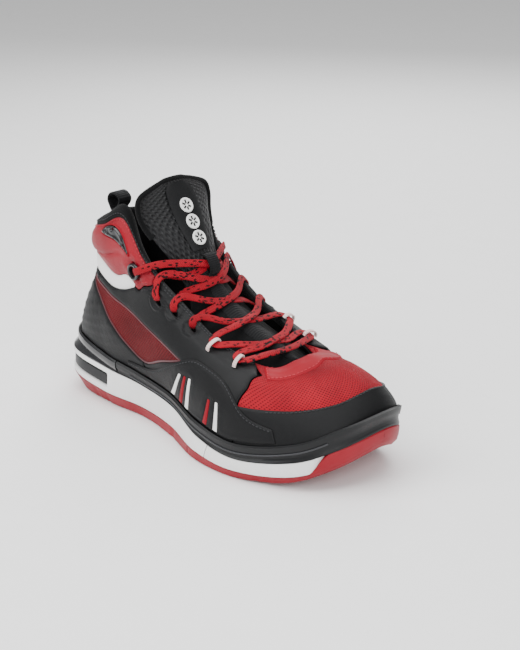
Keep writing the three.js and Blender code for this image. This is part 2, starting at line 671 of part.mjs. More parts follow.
place('tongue', tongueSolid(lower), TEXTILE, FINE);
place('tongue_top', tongueSolid(upper), TEXTILE, FINE);

// A plate on the tongue front between two rows, over part of its width.
const plateOn = (front, from, to, half, low, high) => sweep(
  front.slice(from, to + 1).map((row) => {
    const span = row.slice(ACROSS / 2 - half, ACROSS / 2 + half + 1);
    return [
      ...span.map(({ p, n }) => p.clone().addScaledVector(n, high)),
      ...span.map(({ p, n }) => p.clone().addScaledVector(n, low)).reverse(),
    ];
  }),
);
place('tongue_overlay', plateOn(upper, 0, 3, 2, GAP, GAP + 1), BLACK, FINE);
// Facing directions of the front on the centre line.
const frontAt = (z) => {
  const row = upper.map((r) => r[ACROSS / 2]);
  const i = Math.max(1, row.findIndex(({ p }) => p.z > z));
  const [a, b] = [row[i - 1], row[i]];
  const t = (z - a.p.z) / (b.p.z - a.p.z);
  const d = b.p.clone().sub(a.p).normalize();
  return { p: a.p.clone().lerp(b.p, t), n: new THREE.Vector3(d.z, 0, -d.x) };
};
[140, 151, 162].forEach((z, i) => {
  const { p, n } = frontAt(z * SZ);
  const spin = new THREE.Quaternion().setFromUnitVectors(new THREE.Vector3(0, 0, 1), n);
  const m = new THREE.Matrix4().compose(p, spin, new THREE.Vector3(1, 1, 1));
  place(`tongue_badge_${i + 1}`, rod(11.6, 2.2 * GAP + 1, 2.2 * GAP + 1.9, 20)
    .transform(m.toArray()), WHITE, FINE);
});

// Flat strap along a path: width along `wide`, thickness toward its outside.
const strap = (path, wide, width, thick, count, inside, closed = false) => {
  const line = new THREE.CatmullRomCurve3(path, closed, 'centripetal');
  const total = closed ? count : count + 1;
  return sweep(Array.from({ length: total }, (_, i) => {
    const p = line.getPointAt(i / count);
    const t = line.getTangentAt(i / count);
    const n = new THREE.Vector3().crossVectors(t, wide).normalize();
    const facing = p.clone().sub(inside).dot(n) > 0 ? n : n.negate();
    const at = (w, h) => p.clone().addScaledVector(wide, w).addScaledVector(facing, h);
    return [at(-width / 2, 0), at(width / 2, 0), at(width / 2, thick), at(-width / 2, thick)];
  }), { closed });
};
const Y = new THREE.Vector3(0, 1, 0);

// Keeper strap on the tongue ridge; the laces cross inside it.
const KEEPER_W = 10;
const keep = (i) => lower[i][ACROSS / 2].p;
const [k0, k2] = [keep(5), keep(6)];
const k1 = k0.clone().lerp(k2, 0.5);
const along = k2.clone().sub(k0).normalize();
const out = new THREE.Vector3(along.z, 0, -along.x);
const keeperAt = (s, h) => k1.clone().addScaledVector(along, s).addScaledVector(out, h);
const KEEPER_RISE = 2 * LACE_T + 5.7 * GAP;
place('lace_keeper', strap([keeperAt(-9.6, 1.1), keeperAt(-8, 1.2),
  keeperAt(-6.6, KEEPER_RISE * 0.75), keeperAt(-3.6, KEEPER_RISE + 0.2),
  keeperAt(3.2, KEEPER_RISE + 0.2), keeperAt(6, KEEPER_RISE * 0.75), keeperAt(7, 1.2),
  keeperAt(8.2, 1.0)], Y, KEEPER_W, 1.1, 18, k1.clone().addScaledVector(out, -30)), BLACK,
FINE);

// Pull loop: webbing doubled over, both ends sewn in the top seam at the heel.
const seamTop = offset(0, 4, -PANEL_T - 1.2).add(new THREE.Vector3(0, 0, 2.9));
const LOOP_W = 12;
const LOOP_T = 1.7;
const LOOP_H = 14;
const loopPoint = (x, z) => seamTop.clone().add(new THREE.Vector3(x, 0, z));
place('pull_loop', strap([loopPoint(-1.2, 0.2), loopPoint(-2.6, 2.5), loopPoint(-4.8, 7),
  loopPoint(-2.6, LOOP_H - 3), loopPoint(2.2, LOOP_H - 2), loopPoint(6.8, LOOP_H - 5),
  loopPoint(6.4, 6.5), loopPoint(3.2, 2.4), loopPoint(1.2, 0.2)], Y, LOOP_W, LOOP_T, 26,
loopPoint(1, 6), true), TEXTILE, FINE);

// ---- lace loops and lace -------------------------------------------------
const ringTangent = (u, v) => skin(u + 0.05, v).sub(skin(u - 0.05, v)).normalize();
// Local frame on the skin: toward the toe, toward the throat, outward.
const frameAt = (u, v) => {
  const n = outward(u, v);
  const toe = ringTangent(u, v);
  if (toe.x < 0) {
    toe.negate();
  }
  const over = new THREE.Vector3().crossVectors(toe, n).normalize();
  if (over.dot(skin(u, v + 0.1).sub(skin(u, v))) < 0) {
    over.negate();
  }
  const base = skin(u, v);
  const at = (e, d, h) => base.clone().addScaledVector(toe, e).addScaledVector(over, d)
    .addScaledVector(n, h);
  return { n, toe, at };
};
LOOPS.forEach(([u, v], k) => SIDES.forEach((name, i) => {
  const { n, toe, at } = frameAt(side(u, i), v);
  place(`lace_loop_${name}_${k + 1}`, strap([at(0, -5, 0.5), at(0, -4.6, 2.4),
    at(0, -2.8, 3.9), at(0, 0, 4.3), at(0, 3.2, 3.9), at(0, 5.2, 2.4), at(0, 5.7, 0.5)],
  toe, 2.4, 1, 8, at(0, 0, -20)), WHITE, FINE);
}));

const onTongue = (r, a, h) => {
  const k = Math.min(Math.floor(r), HINGE_ROW - 1);
  const t = r - k;
  const j = a * ACROSS;
  const q = (row) => {
    const c = Math.min(Math.floor(j), ACROSS - 1);
    return [row[c].p.clone().lerp(row[c + 1].p, j - c), row[c].n.clone().lerp(row[c + 1].n, j - c)];
  };
  const [p0, n0] = q(lower[k]);
  const [p1, n1] = q(lower[k + 1]);
  const n = n0.lerp(n1, t).normalize();
  return { p: p0.lerp(p1, t).addScaledVector(n, h), n };
};
const UNDER_H = LINING_OUT - LINING_T - GAP - LACE_T / 2 - 0.45;
const OVER_H = GAP + LACE_T / 2 + 0.8;
const CROSS = [GAP + LACE_T / 2 + 0.6, 2 * GAP + 1.5 * LACE_T + 0.8];
const route = [];
const half = (i) => {
  const path = [];
  const put = (p, n) => path.push({ p, n });
  const on = (s, u, v, h) => put(offset(side(u, s), v, h), outward(side(u, s), v));
  const mid = (r, a, h) => {
    const q = onTongue(r, a, h);
    put(q.p, q.n);
  };
  const across1 = (s) => (s === 0 ? 1 : -1);
  const turn = (s, [u, v]) => {
    const { n, at } = frameAt(side(u, s), v);
    put(at(7.2, 10, OVER_H - 0.4), n);
    put(at(6.6, 5, OVER_H), n);
    put(at(0, 0, OVER_H), n);
    put(at(-6.6, 5, OVER_H), n);
    put(at(-7.2, 10, OVER_H - 0.4), n);
  };
  const dive = (s, [u, v]) => {
    on(s, u + 0.04, 4.05, OVER_H + 1.0);
    on(s, u + 0.02, v + 0.65, OVER_H + 0.7);
    on(s, u, v + 0.33, OVER_H);
    on(s, u, v + 0.1, OVER_H - 0.5);
    const inHole = (h) => put(offset(side(u, s), v, h), skin(side(u, s), v + 0.1)
      .sub(skin(side(u, s), v)).normalize());
    inHole(-1.6);
    inHole(-4.6);
    on(s, u, v + 0.12, UNDER_H + 0.1);
    on(s, u, v + 0.4, UNDER_H - 0.15);
    on(s, u - 0.06, 3.97, UNDER_H - 0.1);
  };
  const o = 1 - i;
  // Over the tongue from side s to the other: row, level, start under the edge.
  const span = (s, r, level, under) => {
    const k = across1(s);
    const rise = CROSS[level];
    mid(r - 0.12, 0.5 - 0.15 * k, under ? CROSS[0] + 1.2 : rise + 0.9);
    mid(r, 0.5, rise + 0.15);
    mid(r + 0.12, 0.5 + 0.15 * k, rise + 0.5);
  };
  turn(i, LOOPS[0]);
  span(i, 1.75, (1 + i) % 2, false);
  turn(o, LOOPS[1]);
  span(o, 2.9, i, false);
  dive(i, HOLES[0]);
  span(i, 3.85, (1 + i) % 2, true);
  dive(o, HOLES[1]);
  span(o, 4.75, i, true);
  dive(i, HOLES[2]);
  mid(5.3, 0.5 - 0.42 * across1(i), CROSS[0] + 2.2);
  mid(5.3, 0.5 - 0.25 * across1(i), CROSS[0] + 0.7);
  mid(5.4, 0.5 - 0.12 * across1(i), CROSS[i] + 0.4);
  put(keeperAt(-0.3, CROSS[i] + 0.15), out);
  mid(5.6, 0.5 + 0.14 * across1(i), CROSS[i] + 0.5);
  const [gu, gv] = GROMMET;
  on(o, 4.04, 3.9, 4.6);
  on(o, gu + 0.36, gv + 0.5, 5.0);
  on(o, gu + 0.12, gv + 0.16, 4.2);
  const bore = (dep) => put(offset(side(gu, o), gv, dep), skin(side(gu, o), gv + 0.1)
    .sub(skin(side(gu, o), gv)).normalize());
  bore(0.6);
  bore(-5);
  on(o, gu - 0.12, gv - 0.2, -11.2);
  on(o, gu - 0.5, gv - 0.45, -12.2);
  on(o, gu - 0.95, gv - 0.6, -12.4);
  return path;
};
const firstHalf = half(0);
const secondHalf = half(1);
const bar = onTongue(0.95, 0.5, CROSS[0] + 0.9);
route.push(...firstHalf.reverse(), bar, ...secondHalf);
const ribbon = (points, width, thick, per) => {
  const path = new THREE.CatmullRomCurve3(points.map((q) => q.p), false, 'centripetal');
  const n = (points.length - 1) * per;
  let face = null;
  let before = null;
  return sweep(Array.from({ length: n + 1 }, (_, k) => {
    const w = k / n;
    const p = path.getPoint(w);
    const t = path.getTangent(w);
    const want = points[Math.round(w * (points.length - 1))].n.clone();
    if (face === null) {
      face = want.clone();
    } else {
      face.applyQuaternion(new THREE.Quaternion().setFromUnitVectors(before, t));
      want.addScaledVector(t, -want.dot(t));
      if (want.length() > 0.2) {
        want.normalize();
        face.addScaledVector(want, (want.dot(face) < 0 ? -1 : 1) * 0.8);
      }
    }
    before = t.clone();
    face.addScaledVector(t, -face.dot(t)).normalize();
    const wide = new THREE.Vector3().crossVectors(t, face);
    const at = (a, b) => p.clone().addScaledVector(wide, a * width / 2)
      .addScaledVector(face, b * thick / 2);
    return [at(-1, 0), at(-0.86, 1), at(0.86, 1), at(1, 0), at(0.86, -1), at(-0.86, -1)];
  }));
};
place('lace', ribbon(route, LACE_W, LACE_T, 2), RED, 0.07);

// ---- sole ----------------------------------------------------------------
// Inward plan direction of a sole ring at u.
const inward = (ring, u) => {
  const d = onRing(ring, u + 0.05).sub(onRing(ring, u - 0.05));
  return new THREE.Vector3(-d.y, d.x, 0).normalize().negate();
};
const centreSide = (ring, u) => {
  const n = inward(ring, u);
  const p = onRing(ring, u);
  const probe = p.clone().addScaledVector(n, 3);
  const middle = new THREE.Vector3(0, 0, 0);
  return probe.distanceTo(middle) < p.distanceTo(middle) ? n : n.negate();
};
const inset = (ring, u, d, z = 0) => {
  const p = onRing(ring, u).addScaledVector(centreSide(ring, u), d);
  p.z += z;
  return p;
};
const across = (s, make) => [
  ...make(s), ...make(N - s).reverse(),
];
const steps = (from, to, step = 0.5) => {
  const list = [];
  for (let s = from; s < to - 1e-6; s = Math.floor(s / step + 1.0001) * step) {
    list.push(s);
  }
  list.push(to);
  return list;
};
const WRAP_FROM = 7.35;      // where the toe rubber climbs the sidewall
const WRAP_TO = 7.75;
const WRAP_T = 3.0;
const wrap = (u) => smooth(WRAP_FROM, WRAP_TO, Math.min(u, N - u));
const { tread, rubber, rim } = SOLE;

const outsoleSection = (grow) => (u) => {
  const edge = onRing(rubber, u).lerp(onRing(rim, u), wrap(u));
  const lip = edge.clone().addScaledVector(centreSide(rubber, u), WRAP_T + grow);
  const outer = edge.clone().addScaledVector(centreSide(rubber, u), -8 * grow);
  const knee = inset(rubber, u, WRAP_T + grow, -0.6);
  const floor = inset(tread, u, 3.4 + grow, 0);
  floor.z = onRing(tread, u).z + OUTSOLE_T;
  const cheek = onRing(rubber, u).lerp(onRing(tread, u), 0.3);
  cheek.addScaledVector(centreSide(rubber, u), -8 * grow);
  for (const p of [lip, outer, knee, floor]) {
    p.z += grow;
  }
  return [inset(tread, u, -8 * grow), cheek, outer, lip, knee, floor];
};
const midsoleSection = (u) => [
  onRing(tread, u), onRing(rubber, u), onRing(rim, u), inset(rim, u, 7),
];
const soleSteps = (from, to) => [
  ...steps(from, to), 7.35, 7.42, 7.58, 7.68, 7.75,
].filter((s) => s >= from && s <= to).sort((a, b) => a - b);
const soleBody = (from, to, section) => sweep(
  soleSteps(from, to).map((s) => across(s, section)),
  { ladder: false, caps: [from > 0, to < HALF] },
);
const OUTSOLE_SPLIT = 4.75;
const FOAM_SPLIT = 5.3;
const seam = GAP / 34;
place('outsole_rear', soleBody(0, OUTSOLE_SPLIT - seam, outsoleSection(0)), RUBBER_RED);
place('outsole_forefoot', soleBody(OUTSOLE_SPLIT + seam, HALF, outsoleSection(0)), RUBBER_RED);

// Cushion insert round the heel, seated in a channel of the foam.
const insertSection = (grow) => (u) => {
  const mid = onRing(rubber, u).lerp(onRing(rim, u), 0.52);
  const dir = centreSide(rim, u);
  const h = 4.4 + grow;
  const at = (d, z) => mid.clone().addScaledVector(dir, d).add(new THREE.Vector3(0, 0, z));
  return [at(0.8 - (grow ? 6 : 0), -h), at(9 + grow, -h), at(9 + grow, h),
    at(0.8 - (grow ? 6 : 0), h)];
};
const insertPath = (grow) => sweep(
  steps(-2.05 - grow / 38, 2.05 + grow / 38, 0.25).map(insertSection(grow)),
);
// Shank plate in a pocket under the board.
const plateSection = (grow) => (s) => {
  const make = (u) => {
    const top = inset(rim, u, 13 - grow, grow ? 2 : -GAP);
    const low = inset(rim, u, 13 - grow, -GAP - PLATE_T - grow);
    return [low, top];
  };
  return across(s, make);
};
const plate = (grow) => sweep(
  steps(3.3 - grow / 38, 6.6 + grow / 38, 0.5).map(plateSection(grow)),
);
const pocket = plate(GAP);
const bed = soleBody(0, HALF, outsoleSection(GAP));
place('midsole_rear', minus(soleBody(0, FOAM_SPLIT - seam, midsoleSection),
  [bed, insertPath(GAP), pocket]), WHITE);
place('midsole_forefoot', minus(soleBody(FOAM_SPLIT + seam, HALF, midsoleSection),
  [bed, pocket]), WHITE);
place('heel_cushion_insert', insertPath(0), GREY);
place('shank_plate', plate(0), GREY);

const flatBody = (ring, edge, z0, z1) => sweep(steps(0, HALF, 0.5).map((s) => across(
  s, (u) => [inset(ring, u, edge, z0), inset(ring, u, edge, z1)],
)), { caps: [false, false] });
const lasting = RINGS[0];
place('strobel_board', flatBody(lasting, 6.2, GAP - 1, GAP - 1 + BOARD_T), BOARD);
place('sockliner', flatBody(lasting, 7.2, BOARD_T + 2 * GAP - 1,
  BOARD_T + 2 * GAP - 1 + SOCK_T), TEXTILE);

// Rubber sidewall round the foot of the upper, with an open lip at the toe.
const lipGap = (u) => 2.6 * smooth(7.9, 8.5, u) * (1 - smooth(9.3, 9.9, u));
const bandSection = (u) => {
  const foot = inset(rim, u, 0.2 + wrap(u) * 0.2, GAP);
  const heelIn = offset(u, -0.88, GAP);
  heelIn.z = Math.max(heelIn.z, foot.z + 0.2);
  return [foot, offset(u, -0.45, BAND_T + 1.2), offset(u, 0.02, BAND_T + lipGap(u)),
    offset(u, 0.07, GAP + 0.9 + lipGap(u)), offset(u, -0.5, GAP), heelIn];
};
const CLIP_END = 2.35;
place('heel_clip', sweep(steps(-CLIP_END + seam, CLIP_END - seam, 0.5).map(bandSection),
  { ladder: false }), GREY);
place('sidewall_band', sweep(steps(CLIP_END + seam, N - CLIP_END - seam, 0.5)
  .map(bandSection), { ladder: false }), GREY);

// Origin: middle of the bounding box, on the ground.
const bounds = new THREE.Box3().setFromObject(group);
const middle = bounds.getCenter(new THREE.Vector3());
group.children.forEach((node) => {
  node.geometry.translate(-middle.x, -middle.y, -bounds.min.z);
});

export default group;
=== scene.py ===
"""Basketball high top, the wearer's right shoe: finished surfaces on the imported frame.

Sizes are millimetres and become metres when a mesh is made. u runs round the shoe in
stations (0 back of the heel, 9 tip of the toe, 18 heel again) and v runs up the upper
(-1 lasting edge, 0 feather line, 4 top line).
"""
import logging
import math
from dataclasses import dataclass, field
from enum import Enum
from typing import Callable, Optional, Sequence

import bmesh
import bpy
import numpy as np
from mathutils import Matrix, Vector
from mathutils.geometry import delaunay_2d_cdt
from mathutils.kdtree import KDTree


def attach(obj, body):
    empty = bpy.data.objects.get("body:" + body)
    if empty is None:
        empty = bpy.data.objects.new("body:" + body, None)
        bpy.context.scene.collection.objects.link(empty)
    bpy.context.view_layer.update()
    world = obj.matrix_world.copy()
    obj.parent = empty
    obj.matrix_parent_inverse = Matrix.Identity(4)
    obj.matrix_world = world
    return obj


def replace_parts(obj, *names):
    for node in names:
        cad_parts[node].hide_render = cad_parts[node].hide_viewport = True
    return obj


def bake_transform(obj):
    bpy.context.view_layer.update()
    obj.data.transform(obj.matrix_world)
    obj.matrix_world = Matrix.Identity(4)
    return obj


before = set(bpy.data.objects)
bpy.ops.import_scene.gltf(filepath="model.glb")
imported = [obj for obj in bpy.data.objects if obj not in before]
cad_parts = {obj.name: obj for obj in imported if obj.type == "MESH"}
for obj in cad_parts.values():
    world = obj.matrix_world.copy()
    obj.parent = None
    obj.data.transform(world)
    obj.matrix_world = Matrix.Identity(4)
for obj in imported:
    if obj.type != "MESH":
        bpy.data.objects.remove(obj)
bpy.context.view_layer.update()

LOG = logging.getLogger("high_top")
Array = np.ndarray

# ---- the last and its rings ---------------------------------------------------
STATIONS = 18
HALF = 9
ORIGIN = np.array([3.594, -3.776, 0.0])    # middle of the ground box, seen from the last
GAP = 0.35
PER_U = 34.0                                # flat pattern: millimetres for one station
PER_V = 30.0                                # and for one step up the side
FLAT = np.array([PER_U, PER_V])
MM = 0.001                                  # metres
UP = np.array([0, 0, 1.0])
SEAM_U = GAP / PER_U                        # half the gap between two sole blocks
LINING_IN = -5.9                            # inner face of the lining under the skin
PAD_DEPTH = 3.8                             # how much deeper it lies behind the padding

LASTING = ((-135, 0, 0, 37), (-119, -26, 26, 36), (-83, -33, 32, 32), (-45, -33, 28, 29),
           (-4, -37, 28, 25), (37, -50, 37, 18), (76, -52, 46, 15), (116, -40, 44, 22),
           (137, -20, 33, 32), (145, 12, 12, 39))
FEATHER = ((-140, 0, 0, 49), (-123, -30, 30, 48), (-83, -38, 36, 41), (-45, -39, 33, 37),
           (-4, -43, 33, 33), (38, -55, 42, 27), (78, -57, 52, 24), (121, -44, 50, 33),
           (142, -22, 38, 44), (150, 12, 12, 50))
BELLY = ((-133, 0, 0, 74), (-116, -31, 31, 72), (-82, -41, 40, 68), (-46, -43, 39, 66),
         (-10, -48, 40, 62), (30, -53, 44, 57), (70, -53, 50, 51), (109, -39, 46, 54),
         (130, -17, 34, 60), (138, 12, 12, 65))
WAIST = ((-119, 0, 0, 108), (-104, -27, 27, 106), (-80, -36, 36, 104), (-54, -39, 39, 103),
         (-24, -42, 41, 92), (14, -44, 42, 82), (54, -44, 43, 71), (91, -31, 37, 67),
         (112, -11, 25, 72), (120, 7, 7, 75))
COLLAR = ((-119, 0, 0, 127), (-107, -28, 28, 127), (-84, -38, 38, 129), (-57, -40, 41, 134),
          (-30, -40, 39, 108), (6, -38, 38, 91), (46, -38, 38, 77), (82, -26, 31, 70),
          (101, -9, 17, 75.5), (106, 4, 4, 78))
TOP = ((-113, 0, 0, 143), (-103, -26, 26, 143), (-85, -35, 36, 150), (-60, -37, 40, 160),
       (-36, -36, 35, 127), (-1, -31, 31, 101), (38, -31, 31, 82), (73, -20, 24, 71.5),
       (86, -6.5, 11, 77), (90, 2, 2, 80))
TREAD = ((-142, 0, 0, 4), (-125, -28, 28, 1), (-85, -35, 35, 0), (-45, -35, 31, 0),
         (-6, -44, 31, 0), (36, -59, 42, 0), (76, -60, 52, 0), (116, -46, 50, 4),
         (139, -23, 37, 14), (148, 12, 12, 22))
RUBBER = ((-148, 0, 0, 17), (-129, -34, 34, 15), (-85, -41, 39, 11), (-45, -38, 33, 9),
          (-5, -44.5, 33, 8), (37, -60, 43, 7), (78, -62, 53, 6), (120, -48, 51, 10),
          (143, -24, 38, 19), (152, 12, 12, 28))
FOAM_RIM = ((-147, 0, 0, 36), (-129, -34, 34, 35), (-85, -40, 38, 31), (-45, -39, 33, 28),
            (-4, -44, 33, 24), (38, -57.5, 43, 17), (79, -60, 53, 14), (122, -47, 51, 21),
            (145, -24, 38, 31), (153.5, 12, 12, 38))


def smoothstep(low: float, high: float, x: Array) -> Array:
    """Return 0 below low, 1 above high and a smooth ramp between."""
    t = np.clip((np.asarray(x, float) - low) / (high - low), 0, 1)
    return t * t * (3 - 2 * t)


def hermite(a: Array, b: Array, c: Array, d: Array, t: Array) -> Array:
    """Return the uniform spline value between b and c at t."""
    m0, m1 = (c - a) / 2, (d - b) / 2
    return (b + m0 * t + (3 * (c - b) - 2 * m0 - m1) * t ** 2
            + (2 * (b - c) + m0 + m1) * t ** 3)


def whole_ring(rows: Sequence[Sequence[float]]) -> Array:
    """Return all eighteen stations of a ring from its ten lateral and medial rows."""
    lateral = [(x, lat, z) for x, lat, _, z in rows]
    medial = [(x, med, z) for x, _, med, z in rows[1:-1]][::-1]
    return np.array(lateral + medial, float) - ORIGIN


def on_ring(ring: Array, u: Array) -> Array:
    """Find points of a ring.

    Args:
        ring: control points of the ring, one for each station.
        u: stations.

    Returns:
        A point for each station.
    """
    w = np.mod(np.atleast_1d(np.asarray(u, float)), STATIONS)
    i = np.floor(w).astype(int)
    p = hermite(*(ring[(i + k) % STATIONS] for k in (-1, 0, 1, 2)), (w - i)[:, None])
    p[:, 2] = np.maximum(p[:, 2], 0)
    return p


def unit(v: Array) -> Array:
    """Return vectors scaled to length one."""
    return v / np.maximum(np.linalg.norm(v, axis=-1, keepdims=True), 1e-9)


def full_turn(count: int) -> Array:
    """Return count evenly spaced angles of a circle."""
    return np.linspace(0, 2 * math.pi, count, endpoint=False)


def run_along(line: Array) -> Array:
    """Return the distance from the start of a line to each of its points."""
    return np.concatenate([[0], np.cumsum(np.linalg.norm(np.diff(line, axis=0), axis=1))])


def smooth_line(control: Sequence, count: int, closed: bool = False) -> Array:
    """Draw an evenly spaced centripetal spline.

    Args:
        control: points it passes.
        count: steps along it.
        closed: it runs back to its first point.

    Returns:
        count + 1 points, or count when it is closed.
    """
    pts = np.asarray(control, float)
    n = len(pts)

    def at(i: int) -> Array:
        """Return control point i, mirrored past an open end."""
        if closed:
            return pts[i % n]
        if i < 0:
            return 2 * pts[0] - pts[1]
        return 2 * pts[-1] - pts[-2] if i >= n else pts[i]

    t = np.linspace(0, 1, 25)[:-1, None]
    parts = []
    for i in range(n if closed else n - 1):
        p0, p1, p2, p3 = at(i - 1), at(i), at(i + 1), at(i + 2)
        d1 = max(np.linalg.norm(p2 - p1), 1e-9) ** 0.5
        d0 = max(np.linalg.norm(p1 - p0) ** 0.5, 1e-3 * d1)
        d2 = max(np.linalg.norm(p3 - p2) ** 0.5, 1e-3 * d1)
        m1 = ((p1 - p0) / d0 - (p2 - p0) / (d0 + d1) + (p2 - p1) / d1) * d1
        m2 = ((p2 - p1) / d1 - (p3 - p1) / (d1 + d2) + (p3 - p2) / d2) * d1
        parts.append(p1 + m1 * t + (3 * (p2 - p1) - 2 * m1 - m2) * t ** 2
                     + (2 * (p1 - p2) + m1 + m2) * t ** 3)
    dense = np.vstack(parts + [at(0)[None] if closed else pts[-1:]])
    run = run_along(dense)
    want = np.linspace(0, run[-1], count + 1)
    line = np.stack([np.interp(want, run, dense[:, k]) for k in range(pts.shape[1])], axis=1)
    return line[:-1] if closed else line


class Skin:
    """The smooth outer surface of the upper."""

    def __init__(self) -> None:
        """Lay out the six rings."""
        self.rings = [whole_ring(r) for r in (LASTING, FEATHER, BELLY, WAIST, COLLAR, TOP)]

    def point(self, u: Array, v: Array) -> Array:
        """Find points of the surface.

        Args:
            u: stations.
            v: heights.

        Returns:
            A point in millimetres for each pair.
        """
        u, v = np.broadcast_arrays(np.atleast_1d(np.asarray(u, float)),
                                   np.atleast_1d(np.asarray(v, float)))
        p = np.stack([on_ring(r, u) for r in self.rings])
        full = np.concatenate([2 * p[:1] - p[1:2], p, 2 * p[-1:] - p[-2:-1]])
        last = len(self.rings) - 1
        w = v + 1
        c = np.clip(w, 0, last)
        i = np.minimum(np.floor(c).astype(int), last - 1)
        n = np.arange(len(u))
        pick = [full[i + k, n] for k in range(4)]
        here = hermite(*pick, (c - i)[:, None])
        near = hermite(*pick, (c - i + np.where(w < c, 0.02, -0.02))[:, None])
        return here + (here - near) * (np.abs(w - c) / 0.02)[:, None]

    def normal(self, u: Array, v: Array) -> Array:
        """Find the way out of the surface.

        Args:
            u: stations.
            v: heights.

        Returns:
            A direction of length one for each pair.
        """
        u, v = np.broadcast_arrays(np.atleast_1d(np.asarray(u, float)),
                                   np.atleast_1d(np.asarray(v, float)))
        du = self.point(u + 0.05, v) - self.point(u - 0.05, v)
        w = np.clip(v, -0.95, 3.95)
        dv = self.point(u, w + 0.05) - self.point(u, w - 0.05)
        return unit(np.cross(du, dv))

    def offset(self, u: Array, v: Array, d: Array) -> Array:
        """Return points at height d over the surface."""
        return self.point(u, v) + self.normal(u, v) * np.reshape(d, (-1, 1))

    def scale(self, u: Array, v: Array) -> tuple[Array, Array]:
        """Measure the surface at some points.

        Args:
            u: stations.
            v: heights.

        Returns:
            Millimetres per unit of u and per unit of v.
        """
        w = np.clip(v, -0.9, 3.9)
        su = np.linalg.norm(self.point(u + 0.05, v) - self.point(u - 0.05, v), axis=1) * 10
        sv = np.linalg.norm(self.point(u, w + 0.05) - self.point(u, w - 0.05), axis=1) * 10
        return su, sv

    def frame_at(self, u: float, v: float) -> tuple[Array, Array, Array, Array]:
        """Find how a small part sits on the surface.

        Args:
            u: station.
            v: height.

        Returns:
            The point, and the directions to the toe, to the throat and outward.
        """
        base, n = self.point(u, v)[0], self.normal(u, v)[0]
        toe = unit(self.point(u + 0.05, v)[0] - self.point(u - 0.05, v)[0])
        toe = toe if toe[0] > 0 else -toe
        over = unit(np.cross(toe, n))
        if over @ (self.point(u, v + 0.1)[0] - base) < 0:
            over = -over
        return base, toe, over, n


SKIN = Skin()


class Side(Enum):
    """Which half of the shoe a region lies on."""

    LATERAL = 0
    MEDIAL = 1
    WHOLE = 2


@dataclass(frozen=True)
class Region:
    """A patch of the upper between a lower and an upper line, drawn on the lateral half."""

    lower: tuple
    upper: tuple
    top: float = 4.0

    def outline(self, side: Side, grow: float = 0.0, count: int = 48) -> Array:
        """Draw the outline.

        Args:
            side: which half, or both.
            grow: millimetres to move it outward.
            count: steps along each line.

        Returns:
            A closed loop of u and v.
        """
        halves = []
        for control in (self.lower, self.upper):
            line = [tuple(p) for p in control]
            if side is Side.WHOLE:
                centre = line[0][0]
                line = [(2 * centre - u, v) for u, v in line[:0:-1]] + line
            if side is Side.MEDIAL:
                line = [(STATIONS - u, v) for u, v in line]
            halves.append(smooth_line(line, count))
        loop = np.vstack([halves[0], halves[1][::-1]])
        if grow:
            loop = grown(loop, grow)
        loop[:, 1] = np.clip(loop[:, 1], -0.9, self.top)
        return loop


def grown(loop: Array, distance: float) -> Array:
    """Move an outline outward.

    Args:
        loop: a closed loop of u and v.
        distance: millimetres.

    Returns:
        The moved loop.
    """
    su, sv = SKIN.scale(loop[:, 0], loop[:, 1])
    flat = loop * FLAT
    after = np.roll(flat, -1, axis=0) - flat
    before = flat - np.roll(flat, 1, axis=0)
    x, y = flat[:, 0], flat[:, 1]
    turn = np.sign(np.sum(x * np.roll(y, -1) - np.roll(x, -1) * y))
    way = unit(unit(before) + unit(after))
    normal = turn * np.stack([way[:, 1], -way[:, 0]], axis=1)
    return loop + distance * normal / np.stack([su, sv], axis=1)


def inside(points: Array, loop: Array) -> Array:
    """Tell which points lie inside an outline.

    Args:
        points: pairs of u and v.
        loop: a closed loop of them.

    Returns:
        True for each point inside.
    """
    x, y = points[:, 0][:, None], points[:, 1][:, None]
    x0, y0 = loop[:, 0][None], loop[:, 1][None]
    x1, y1 = np.roll(loop[:, 0], -1)[None], np.roll(loop[:, 1], -1)[None]
    level = (y0 > y) != (y1 > y)
    slope = (x1 - x0) * (y - y0) / np.where(y1 == y0, 1e-12, y1 - y0) + x0
    return np.sum(level & (x < slope), axis=1) % 2 == 1


TOP_V = 4.3
LOW_V = -1.15
CRESCENT = Region(((0, 1.98), (0.7, 1.96), (1.4, 1.92), (2.0, 1.84), (2.5, 1.84),
                   (2.9, 1.93), (3.22, 2.1)),
                  ((0, 2.5), (0.7, 2.5), (1.4, 2.44), (1.95, 2.22), (2.45, 2.13),
                   (2.9, 2.24), (3.26, 2.2)))
COLLAR_FACE = Region(((0.12, 2.2), (1.4, 2.2), (2.2, 2.0), (3.0, 2.2), (3.4, 2.16),
                      (3.75, 2.7), (4.1, 3.3)),
                     ((0.12, TOP_V), (0.8, TOP_V), (1.6, TOP_V), (2.4, TOP_V), (3.1, TOP_V),
                      (3.65, TOP_V), (4.2, TOP_V)), top=3.78)
WINDOW = Region(((0.9, 1.72), (1.6, 1.48), (2.2, 1.12), (2.7, 0.74), (3.25, 0.52),
                 (3.9, 0.84), (4.66, 1.24)),
                ((0.9, 1.79), (1.6, 1.73), (2.2, 1.64), (2.8, 1.55), (3.4, 1.47),
                 (4.0, 1.42), (4.66, 1.28)))
HEEL_FACE = Region(((0, LOW_V), (0.8, LOW_V), (1.6, LOW_V), (2.3, LOW_V), (2.9, LOW_V),
                    (3.4, LOW_V)),
                   ((0, 2.3), (0.6, 2.3), (1.3, 2.3), (1.4, 1.6), (2.0, 1.4), (2.6, 1.0),
                    (3.2, 0.6)))
QUARTER = Region(((1.2, 1.66), (1.9, 1.5), (2.6, 1.1), (3.0, 0.5), (3.1, LOW_V),
                  (4.2, LOW_V), (5.4, LOW_V), (6.5, LOW_V)),
                 ((1.2, 2.1), (1.9, 2.1), (2.6, 2.2), (3.4, 2.7), (3.9, TOP_V), (4.8, TOP_V),
                  (5.8, TOP_V), (6.72, TOP_V)))
